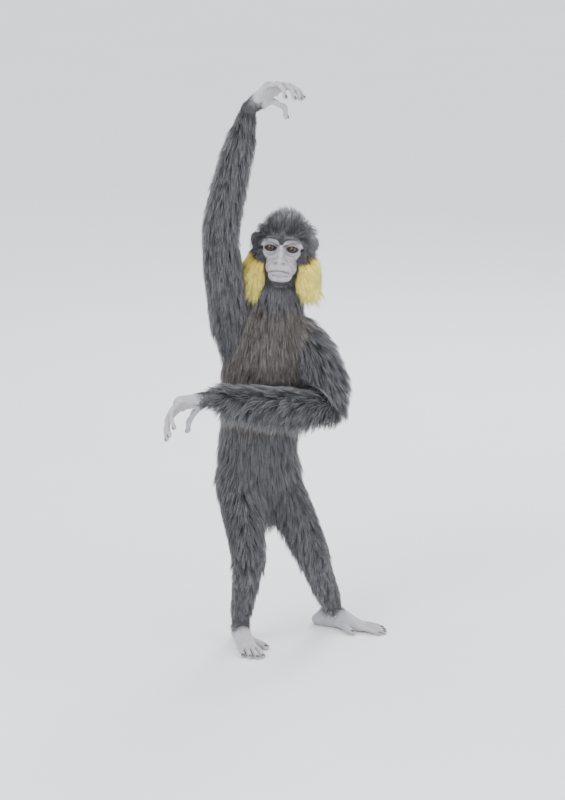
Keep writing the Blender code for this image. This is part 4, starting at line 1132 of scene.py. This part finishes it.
def combed(roots, normals, flows, lengths, depths, stand=0.5):
    """Points along each tuft: out of the skin, then over along the flow to its full depth."""
    outward = np.clip((flows * normals).sum(axis=1), -1, 1)
    free = np.clip(outward * 1.5, 0, 1)
    tangent = unit(flows - normals * outward[:, None] * (1 - free)[:, None])
    heading = unit(tangent + normals * stand)
    path = np.empty((len(roots), 4, 3))
    path[:, 0] = roots - normals * 0.0015
    place, done = roots, 0.0
    for k, (share, rise) in enumerate(((0.30, 0.50), (0.65, 0.85), (1.0, 1.0))):
        ahead = place + heading * (lengths * (share - done))[:, None]
        near, facing = nearest_skin(ahead)
        height = ((ahead - near) * facing).sum(axis=1)
        change = depths * rise - height
        change = np.where(change > 0, change, change * 0.55 * (1 - free))
        ahead = ahead + facing * change[:, None]
        heading = unit(unit(ahead - place) * 0.62 + flows * 0.38)
        place, done = ahead, share
        path[:, k + 1] = place
    return path


def clumped(path, roots, every, strength):
    """Leans the tips of neighbouring tufts together, as fur parts into locks."""
    leaders = rng.choice(len(path), max(1, len(path) // every), replace=False)
    tree = KDTree(len(leaders))
    for k, leader in enumerate(leaders):
        tree.insert(Vector(roots[leader]), k)
    tree.balance()
    own = leaders[[tree.find(Vector(root))[1] for root in roots]]
    pull = strength * rng.uniform(0.55, 1.0, len(path))
    for k, share in ((1, 0.25), (2, 0.62), (3, 1.0)):
        path[:, k] += (path[own, k] - path[:, k]) * (pull * share)[:, None]
    return path


RING_CORNERS = np.radians((90, 210, 330))
RING_TAPERS = (0.80, 1.0, 0.62)
POINT_SHARES = (0.0, 0.0, 0.0, 0.3, 0.3, 0.3, 0.65, 0.65, 0.65, 1.0)


def unwrapped(across, up):
    """Flat places from two shares, a little inside the edges of the picture."""
    return 0.01 + 0.98 * np.column_stack([across, up])


def tufts(name, path, ups, width, patch, tint):
    """All tufts of a piece as one mesh: three-sided, closed at the root, pointed at the tip."""
    count = len(path)
    tangent = unit(np.gradient(path, axis=1))
    side = unit(np.cross(tangent, ups[:, None, :]))
    over = np.cross(side, tangent)
    spots = np.empty((count, 10, 3))
    for ring, taper in enumerate(RING_TAPERS):
        half = (width * taper / 2)[:, None]
        for corner, angle in enumerate(RING_CORNERS):
            offset = side[:, ring] * math.cos(angle) + over[:, ring] * math.sin(angle) * 0.8
            spots[:, ring * 3 + corner] = path[:, ring] + offset * half
    spots[:, 9] = path[:, 3]
    sides = [(0, 2, 1)]
    for a in (0, 3):
        sides += [(a, a + 1, a + 4, a + 3), (a + 1, a + 2, a + 5, a + 4), (a + 2, a, a + 3, a + 5)]
    sides += [(6, 7, 9), (7, 8, 9), (8, 6, 9)]
    loops, starts = np.concatenate(sides), np.cumsum([0] + [len(face) for face in sides[:-1]])
    mesh = bpy.data.meshes.new(name)
    mesh.vertices.add(count * 10)
    mesh.vertices.foreach_set("co", (spots + shift).ravel())
    mesh.loops.add(count * len(loops))
    order = (loops[None] + 10 * np.arange(count)[:, None]).ravel()
    mesh.loops.foreach_set("vertex_index", order.astype(np.int32))
    mesh.polygons.add(count * len(sides))
    begins = (starts[None] + len(loops) * np.arange(count)[:, None]).ravel()
    mesh.polygons.foreach_set("loop_start", begins.astype(np.int32))
    mesh.update(calc_edges=True)
    mesh.shade_smooth()
    drift = np.array([((k % 3 - 1) * 0.0010, (k // 3 - 1.5) * 0.0009) for k in range(10)])
    store_uv(mesh, "OFBake", patch[:, None, :] + drift[None, loops])
    store(mesh, "tint", np.repeat(tint, 10))
    store(mesh, "along", np.tile(POINT_SHARES, count))
    return in_scene(name, mesh)


CREST_ROUND = (-90, -45, 0, 45, 90, 135, 180)
CREST_LEAN = (56, 44, 56, 106, 150, 170, 180)


def head_flow(roots, normals):
    """Up and back over the crown, as the male's crest, and down over the sides and the nape."""
    local = in_head(roots)
    turned = normals @ np.array(HEAD_TURN.to_matrix())
    round_head = np.degrees(np.arctan2(local[:, 1] - 0.005, local[:, 2]))
    lean = np.radians(np.interp(round_head, CREST_ROUND, CREST_LEAN))
    crest = np.column_stack([-0.10 * local[:, 0] / 0.04, np.sin(lean), np.cos(lean)])
    spread = np.full(len(roots), 1.0)
    fall = np.column_stack([turned[:, 0] * 0.25, spread * 0.45, -spread])
    low = np.clip((0.012 - local[:, 2]) / 0.016, 0, 1)
    falling = np.maximum(low, np.clip((np.abs(turned[:, 0]) - 0.45) / 0.4, 0, 1))[:, None]
    return unit((fall * falling + crest * (1 - falling)) @ np.array(HEAD_TURN.to_matrix()).T)


ELBOW_LEFT = np.array((0.145, -0.037, 0.470))
furred = (1 - bare) * (1 - gold) * (skin_points[:, 2] > 0.03)
by_head = np.clip((0.064 - np.linalg.norm(head_points, axis=1)) / 0.01, 0, 1)
by_end = np.clip(1 + past_end / 0.035, 0, 1)
roots, normals = scattered(furred * (1 + 0.7 * by_head + 0.8 * by_end), TUFTS_PER_AREA)
owner, share, turn = where_on_body(roots)
flows, (lengths, depths) = np.empty((len(roots), 3)), np.empty((2, len(roots)))
before_end = -inside_hands(roots)
for name in lines:
    mine = owner == name
    flows[mine] = HANG.get(name, STRAIGHT_DOWN)
    lengths[mine], depths[mine] = COAT[name]
    if name in LIMB_ENDS and name != "forearm_right":
        held = np.clip(1 - before_end[mine] / 0.030, 0, 1)[:, None]
        flows[mine] = flows[mine] * (1 - held) + end_ways[name] * held
on_head, local = owner == "head", in_head(roots)
flows[on_head] = head_flow(roots[on_head], normals[on_head])
crown = on_head * np.clip((local[:, 2] - 0.018) / 0.02, 0, 1)
crown = crown * bell(local[:, 0], 0.042, 4)
crown = crown * np.clip(1 - (local[:, 1] - 0.015) / 0.045, 0.25, 1)
lengths += crown * 0.005
depths += crown * 0.013
above_cheek = np.clip((local[:, 2] + 0.002) / 0.008, 0, 1)
edge_width = 0.018 - 0.008 * above_cheek
edge = np.clip(-inside_face(local) / edge_width, 0.12, 1)
edge = edge * np.clip(-inside_ear(local) / 0.5, 0.3, 1)
near_end = np.clip(before_end / 0.032, 0.45, 1)
near_elbow = np.clip(np.linalg.norm(roots - ELBOW_LEFT, axis=1) / 0.075, 0.45, 1)
short = np.where(on_head, edge, 1.0) * near_end * near_elbow
lengths *= (0.22 + 0.78 * short) * rng.uniform(0.66, 1.20, len(roots))
depths *= short * rng.uniform(0.75, 1.15, len(roots))
upward = (np.clip(normals[:, 2], 0, 1) * (owner == "forearm_left"))[:, None]
flows = unit(flows) + upward * (-0.9, -0.15, 0.6)
flows = unit(unit(flows) + rng.normal(0, 0.08, (len(roots), 3)))
path = combed(roots, normals, flows, lengths, depths)
path = clumped(path, roots, CLUMP_OF, 0.66 * (0.25 + 0.75 * short))
path[:, :, 2] = np.maximum(path[:, :, 2], 0.003)
width = rng.uniform(0.00085, 0.00135, len(roots)) * (0.50 + 0.50 * short)
width *= np.where(on_head, 0.85, 1.0)
tint = rng.random(len(roots))

fur_shade, given, result = new_group(
    "fur_shade",
    [
        ("Vector", VECTOR, (0, 0, 0)),
        ("Along", FLOAT, 0.5),
        ("Tint", FLOAT, 0.5),
        *((label, COLOUR, (0, 0, 0, 1)) for label in ("Root", "Middle", "Tip", "Pale")),
        ("Pale share", FLOAT, 0.15),
    ],
    [("Color", COLOUR), ("Roughness", FLOAT)],
)
lower = ranged(fur_shade, given["Along"], 0.0, 0.45)
upper = ranged(fur_shade, given["Along"], 0.45, 1.0)
colour = mixed(fur_shade, lower, given["Root"], given["Middle"])
colour = mixed(fur_shade, upper, colour, given["Tip"])
patches = noise(fur_shade, given["Vector"], 26.0, 4.0, 0.6)
swing = ranged(fur_shade, patches, 0.32, 0.68, 0.72, 1.28)
single = ranged(fur_shade, given["Tint"], 0.0, 1.0, 0.70, 1.25)
bright = maths(fur_shade, "MULTIPLY", swing, single)
colour = mixed(fur_shade, 1.0, colour, bright, "MULTIPLY")
paler = maths(fur_shade, "SUBTRACT", given["Pale share"], given["Tint"])
paler = maths(fur_shade, "MULTIPLY", paler, 12.0, clamp=True)
paler = maths(fur_shade, "MULTIPLY", paler, upper)
colour = mixed(fur_shade, paler, colour, given["Pale"])
gloss = ranged(fur_shade, given["Tint"], 0.0, 1.0, 0.36, 0.54)
fur_shade.links.new(colour, result.inputs["Color"])
fur_shade.links.new(gloss, result.inputs["Roughness"])


def fur_finish(name, pale_share, **colours):
    """A fur material: the shared shade with its own colours, under a soft silvery sheen."""
    material, tree, shader = new_finish(name, {"Sheen Weight": 0.12, "Sheen Roughness": 0.4})
    ends = {"Vector": own_place(tree), "Along": field(tree, "along"), "Tint": field(tree, "tint")}
    ends |= {label.capitalize(): (*colour, 1) for label, colour in colours.items()}
    ends["Pale share"] = pale_share
    shade = add(tree, "ShaderNodeGroup", ends, node_tree=fur_shade)
    tree.links.new(shade.outputs["Color"], shader.inputs["Base Color"])
    tree.links.new(shade.outputs["Roughness"], shader.inputs["Roughness"])
    return material


black_coat = fur_finish(
    "black_coat",
    pale_share=0.24,
    root=(0.016, 0.016, 0.017),
    middle=(0.066, 0.066, 0.071),
    tip=(0.148, 0.150, 0.159),
    pale=(0.410, 0.415, 0.430),
)
brownish_black = fur_finish(
    "brownish_black_chest",
    pale_share=0.24,
    root=(0.020, 0.017, 0.015),
    middle=(0.089, 0.077, 0.069),
    tip=(0.186, 0.166, 0.151),
    pale=(0.420, 0.398, 0.372),
)
on_trunk = owner == "trunk"
ragged = share + rng.normal(0, 0.03, len(roots))
upper_trunk = on_trunk & (ragged > TRUNK_SPLIT)
faces_front = normals[:, 1] + rng.normal(0, 0.18, len(roots)) < -0.1
on_throat = (owner == "neck") & (ragged < THROAT_BROWN) & faces_front
coat_pieces = {
    "coat_chest": upper_trunk & faces_front | on_throat,
    "coat_back": upper_trunk & ~faces_front,
    "coat_belly": on_trunk & ~upper_trunk & faces_front,
    "coat_rump": on_trunk & ~upper_trunk & ~faces_front,
    "coat_head": on_head,
}
for name in LIMBS:
    if name != "trunk":
        coat_pieces[f"coat_{name}"] = (owner == name) & ~on_throat
for name, mine in coat_pieces.items():
    patch = unwrapped(turn[mine], share[mine])
    piece = tufts(name, path[mine], normals[mine], width[mine], patch, tint[mine])
    is_chest = name == "coat_chest"
    piece.data.materials.append(brownish_black if is_chest else black_coat)
    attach(piece, "root")


# The cheek whiskers: golden fur brushed out and down from the corners of the mouth to the ears,
# longer and finer than the fur round it, and parted from the bare face by a rim of short black.
WHISKER_LENGTH = 0.046
WHISKER_DEPTH = 0.015
WHISKER_CLUMP_OF = 20
WHISKERS_PER_AREA = 1150000
golden = fur_finish(
    "golden_whiskers",
    pale_share=0.25,
    root=(0.52, 0.33, 0.040),
    middle=(0.90, 0.75, 0.120),
    tip=(0.96, 0.88, 0.210),
    pale=(0.98, 0.94, 0.44),
)
for side, word, spread in ((-1, "right", -0.30), (1, "left", 0.34)):
    roots, normals = scattered(gold * (head_points[:, 0] * side > 0), WHISKERS_PER_AREA)
    local = in_head(roots)
    down = 0.62 + 0.55 * np.clip((0.005 - local[:, 2]) / 0.05, 0, 1)
    flows = np.column_stack([np.full(len(roots), spread), np.full(len(roots), 0.06), -down])
    flows = unit(unit(flows) + rng.normal(0, 0.07, flows.shape))
    edge = np.clip(-inside_face(local) / 0.010, 0.45, 1)
    lengths = WHISKER_LENGTH * edge * rng.uniform(0.58, 1.20, len(roots))
    depths = WHISKER_DEPTH * edge * rng.uniform(0.4, 1.1, len(roots))
    path = combed(roots, normals, flows, lengths, depths, stand=0.6)
    path = clumped(path, roots, WHISKER_CLUMP_OF, 0.78)
    width = rng.uniform(0.0007, 0.0011, len(roots))
    patch = unwrapped(*((row - row.min()) / np.ptp(row) for row in local[:, 1:].T))
    piece = tufts(f"golden_cheek_{word}", path, normals, width, patch, rng.random(len(roots)))
    piece.data.materials.append(golden)
    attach(piece, "root")
    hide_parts(f"whiskers_{word}")


# The down: fine short hairs that soften the edge of the coat round the face and ears, on wrists
# and ankles, and stand thinly on brows and chin. They grow by rule from the skin.
DOWN_PER_AREA = 2600000.0
DOWN_LENGTH = 0.0075
DOWN_WIDTH = 0.00042
DOWN_SEED = 5


GEOMETRY = "NodeSocketGeometry"

down_tree, given, result = new_group(
    "grown_down",
    [
        ("Skin", GEOMETRY),
        ("Hairs per area", FLOAT, DOWN_PER_AREA),
        ("Length", FLOAT, DOWN_LENGTH),
        ("Width", FLOAT, DOWN_WIDTH),
        ("Seed", "NodeSocketInt", DOWN_SEED),
        ("Finish", "NodeSocketMaterial"),
    ],
    [("Down", GEOMETRY)],
    "GeometryNodeTree",
)


def live(sockets, name):
    """The socket of that name that the node's settings have switched on."""
    return next(s for s in sockets if s.enabled and s.name == name)


def named(label, kind="FLOAT"):
    ends = {"Name": label}
    made = add(down_tree, "GeometryNodeInputNamedAttribute", ends, data_type=kind)
    return live(made.outputs, "Attribute")


def kept(geometry, label, value, kind="FLOAT"):
    ends = {"Name": label, "Geometry": geometry}
    made = add(down_tree, "GeometryNodeStoreNamedAttribute", ends, domain="POINT", data_type=kind)
    down_tree.links.new(value, live(made.inputs, "Value"))
    return made.outputs["Geometry"]


def drawn(low, high, seed):
    """A random number for each hair."""
    ends = {2: low, 3: high, 8: seed}
    return add(down_tree, "FunctionNodeRandomValue", ends).outputs[1]


dense = maths(down_tree, "MULTIPLY", named("thick"), given["Hairs per area"])
ends = {"Mesh": given["Skin"], "Density": dense, "Seed": given["Seed"]}
spots = add(down_tree, "GeometryNodeDistributePointsOnFaces", ends).outputs["Points"]
where = add(down_tree, "GeometryNodeInputPosition").outputs["Position"]
spots = kept(spots, "root", where, "FLOAT_VECTOR")
spots = kept(spots, "tint", drawn(0.0, 1.0, 3))
ends = {"Vertices": 3, "Radius Top": 0.0, "Radius Bottom": 0.5, "Depth": 1.0}
hair = add(down_tree, "GeometryNodeMeshCone", ends).outputs["Mesh"]
hair = kept(hair, "along", add(down_tree, "ShaderNodeSeparateXYZ", {0: where}).outputs["Z"])
ends = {0: (-0.22,) * 3, 1: (0.22,) * 3, 8: 7}
sway = add(down_tree, "FunctionNodeRandomValue", ends, data_type="FLOAT_VECTOR").outputs[0]
ends = {"Vector": vector(down_tree, "ADD", named("lie", "FLOAT_VECTOR"), sway)}
turned = add(down_tree, "FunctionNodeAlignRotationToVector", ends, axis="Z").outputs[0]
tall = maths(down_tree, "MULTIPLY", drawn(0.55, 1.25, 9), given["Length"])
tall = maths(down_tree, "MULTIPLY", tall, named("reach"))
ends = {"X": given["Width"], "Y": given["Width"], "Z": tall}
scale = add(down_tree, "ShaderNodeCombineXYZ", ends).outputs[0]
ends = {"Points": spots, "Instance": hair, "Rotation": turned, "Scale": scale}
grown = add(down_tree, "GeometryNodeInstanceOnPoints", ends).outputs["Instances"]
grown = add(down_tree, "GeometryNodeRealizeInstances", {"Geometry": grown}).outputs["Geometry"]
ends = {"Geometry": grown, "Material": given["Finish"]}
grown = add(down_tree, "GeometryNodeSetMaterial", ends).outputs["Geometry"]
down_tree.links.new(grown, result.inputs["Down"])


def fades(values, low, high):
    return np.clip((values - low) / (high - low), 0, 1)


near_head = np.linalg.norm(head_points, axis=1) < 0.075
rim_hair = fades(in_face, -0.006, -0.001) * fades(-in_face, -0.0030, -0.0005)
brow_hair = fades(head_points[:, 2], 0.0165, 0.0215) * (in_face > 0) * 0.32
chin_hair = fades(-head_points[:, 2], 0.034, 0.046) * (in_face > 0) * 0.04
lip_hair = lips * (1 - mouth) * 0.015
ear_hair = fades(in_ear, -0.3, 0.0) * fades(head_points[:, 1], 0.0, 0.02) * 0.2
face_hair = np.maximum.reduce([rim_hair, brow_hair, chin_hair, lip_hair, ear_hair]) * (1 - gold)
lie = np.where(near_head[:, None], head_flow(skin_points, skin_facing), 0.0)
from_end = np.full(len(skin_points), np.inf)
for name, way in end_ways.items():
    gap = np.linalg.norm(skin_points - lines[name][-1, :3], axis=1)
    lie = np.where(gap[:, None] < 0.12, way, lie)
    from_end = np.minimum(from_end, gap)
lie = unit(lie - skin_facing * (lie * skin_facing).sum(axis=1)[:, None])
lie = unit(lie + skin_facing * 0.42)
cuff_hair = fades(past_end, -0.012, -0.004) * fades(-from_end, -0.036, -0.014)
cuff_hair = cuff_hair**1.5 * (skin_points[:, 2] > 0.020)
down = in_scene("coat_down", skin.data.copy())
store(down.data, "thick", np.where(near_head, face_hair * (lid_rims < 0.3), cuff_hair * 0.55))
store(down.data, "lie", lie)
store(down.data, "reach", np.where(near_head, 0.55 + 0.45 * fades(-in_face, 0, 0.004), 1.0))
modified(down, "NODES", node_group=down_tree)
for item in down_tree.interface.items_tree:
    if item.name == "Finish":
        down.modifiers[0][item.identifier] = black_coat
baked(down)
down_roots = numbers(down.data.attributes["root"].data, "vector")
owner, share, turn = where_on_body(down_roots - shift)
corner_of = numbers(down.data.loops, "vertex_index", 1, np.int32)[:, 0]
for layer in list(down.data.uv_layers):
    down.data.uv_layers.remove(layer)
drift = np.array([(-0.0011, -0.0011), (0.0011, -0.0011), (0.0011, 0.0011), (-0.0011, 0.0011)])
store_uv(down.data, "OFBake", unwrapped(turn, share)[corner_of] + drift[corner_of % 4])
down.data.shade_smooth()
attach(down, "root")


# The lashes: a row of short dark hairs along each upper lid, curved forward and up.
LASHES = 30
LASH_LENGTH = 0.0052
LASH_WIDTH = 0.00034
lift = Vector((0, -0.25, 1.0)).normalized()
lash_roots, lash_paths = [], []
for side in (-1, 1):
    for k in range(LASHES):
        across = 0.92 * (2 * (k + rng.uniform(0.2, 0.8)) / LASHES - 1)
        turned = math.acos(across)
        z = LID_OPENING[1] * math.sin(turned) * (0.7 + 0.3 * math.sin(turned))
        x = across * LID_OPENING[0]
        front = -math.sqrt((EYE_RADIUS + 0.0009) ** 2 - x * x * 0.9 - z * z)
        base = on_side(EYE_PLACE + Vector((x, front, z)), side)
        way = on_side(Vector((across * 0.5, -0.85, 0.10)), side).normalized()
        size = LASH_LENGTH * rng.uniform(0.75, 1.15) / HEAD_SCALE
        points = [base - way * 0.0006]
        points += [base + (way * s + lift * s * s * 0.8) * size for s in (0.33, 0.66, 1.0)]
        lash_paths.append([tuple(HEAD_PLACED @ p) for p in points])
        lash_roots.append(tuple(HEAD_PLACED @ base))
owner, share, turn = where_on_body(np.array(lash_roots))
lashes = tufts(
    "lashes",
    np.array(lash_paths),
    ups=np.tile((0.0, -0.3, 0.95), (len(lash_roots), 1)),
    width=np.full(len(lash_roots), LASH_WIDTH),
    patch=unwrapped(turn, share),
    tint=rng.uniform(0.4, 1.0, len(lash_roots)),
)
lashes.data.materials.append(black_coat)
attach(lashes, "root")


# The floor and the light of a plain studio: pale, seamless and soft, with the main light high at
# the front left and a rim of light from behind that draws the edge of the black fur.
FLOOR_SIZE = 60.0
half = FLOOR_SIZE / 2
corners = [(-half, -half, 0), (half, -half, 0), (half, half, 0), (-half, half, 0)]
floor = as_object("floor", corners, [(0, 1, 2, 3)])
floor_paper, tree, shader = new_finish("pale_floor", {"Roughness": 0.8})
tone = noise(tree, own_place(tree), 3.0, 3.0)
paper = mixed(tree, tone, (0.80, 0.80, 0.81, 1), (0.84, 0.84, 0.85, 1))
tree.links.new(paper, shader.inputs["Base Color"])
floor.data.materials.append(floor_paper)
floor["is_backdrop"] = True


def soft_light(name, place, aim, size, power):
    light = bpy.data.lights.new(name, "AREA")
    light.shape = "DISK"
    light.size = size
    light.energy = power
    lamp = in_scene(name, light)
    lamp.location = place
    lamp.rotation_euler = (Vector(place) - Vector(aim)).to_track_quat("Z", "Y").to_euler()


soft_light("key_light", (-1.6, -2.2, 2.6), (0, 0, 0.6), 1.6, 85)
soft_light("fill_light", (2.4, -1.8, 1.4), (0, 0, 0.6), 2.0, 30)
soft_light("rim_light", (0.9, 2.4, 2.2), (0, 0, 0.7), 1.4, 60)
world = bpy.data.worlds.new("studio")
bpy.context.scene.world = world
world.use_nodes = True
sky = world.node_tree.nodes["Background"].inputs
sky["Color"].default_value = (0.93, 0.95, 1.0, 1)
sky["Strength"].default_value = 1.8


# The camera looks at the animal from the front, a little from above, as the drawing shows it.
CAMERA_ELEVATION = math.radians(15)
CAMERA_DISTANCE = 9.0
SENSOR_WIDTH = 36
VIEW_HEIGHT = 1.560
VIEW_CENTRE = (0.040, 0.472)
aim = Vector((VIEW_CENTRE[0], 0, VIEW_CENTRE[1] / math.cos(CAMERA_ELEVATION))) + PLAN_SHIFT
back = Vector((0, -math.cos(CAMERA_ELEVATION), math.sin(CAMERA_ELEVATION)))
camera = in_scene("camera", bpy.data.cameras.new("camera"))
camera.location = aim + back * CAMERA_DISTANCE
camera.rotation_euler = back.to_track_quat("Z", "Y").to_euler()
camera.data.sensor_width = SENSOR_WIDTH
camera.data.lens = SENSOR_WIDTH * CAMERA_DISTANCE / VIEW_HEIGHT
bpy.context.scene.camera = camera

boxes = [[list(corner) for corner in box] for box in (cad_box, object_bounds())]
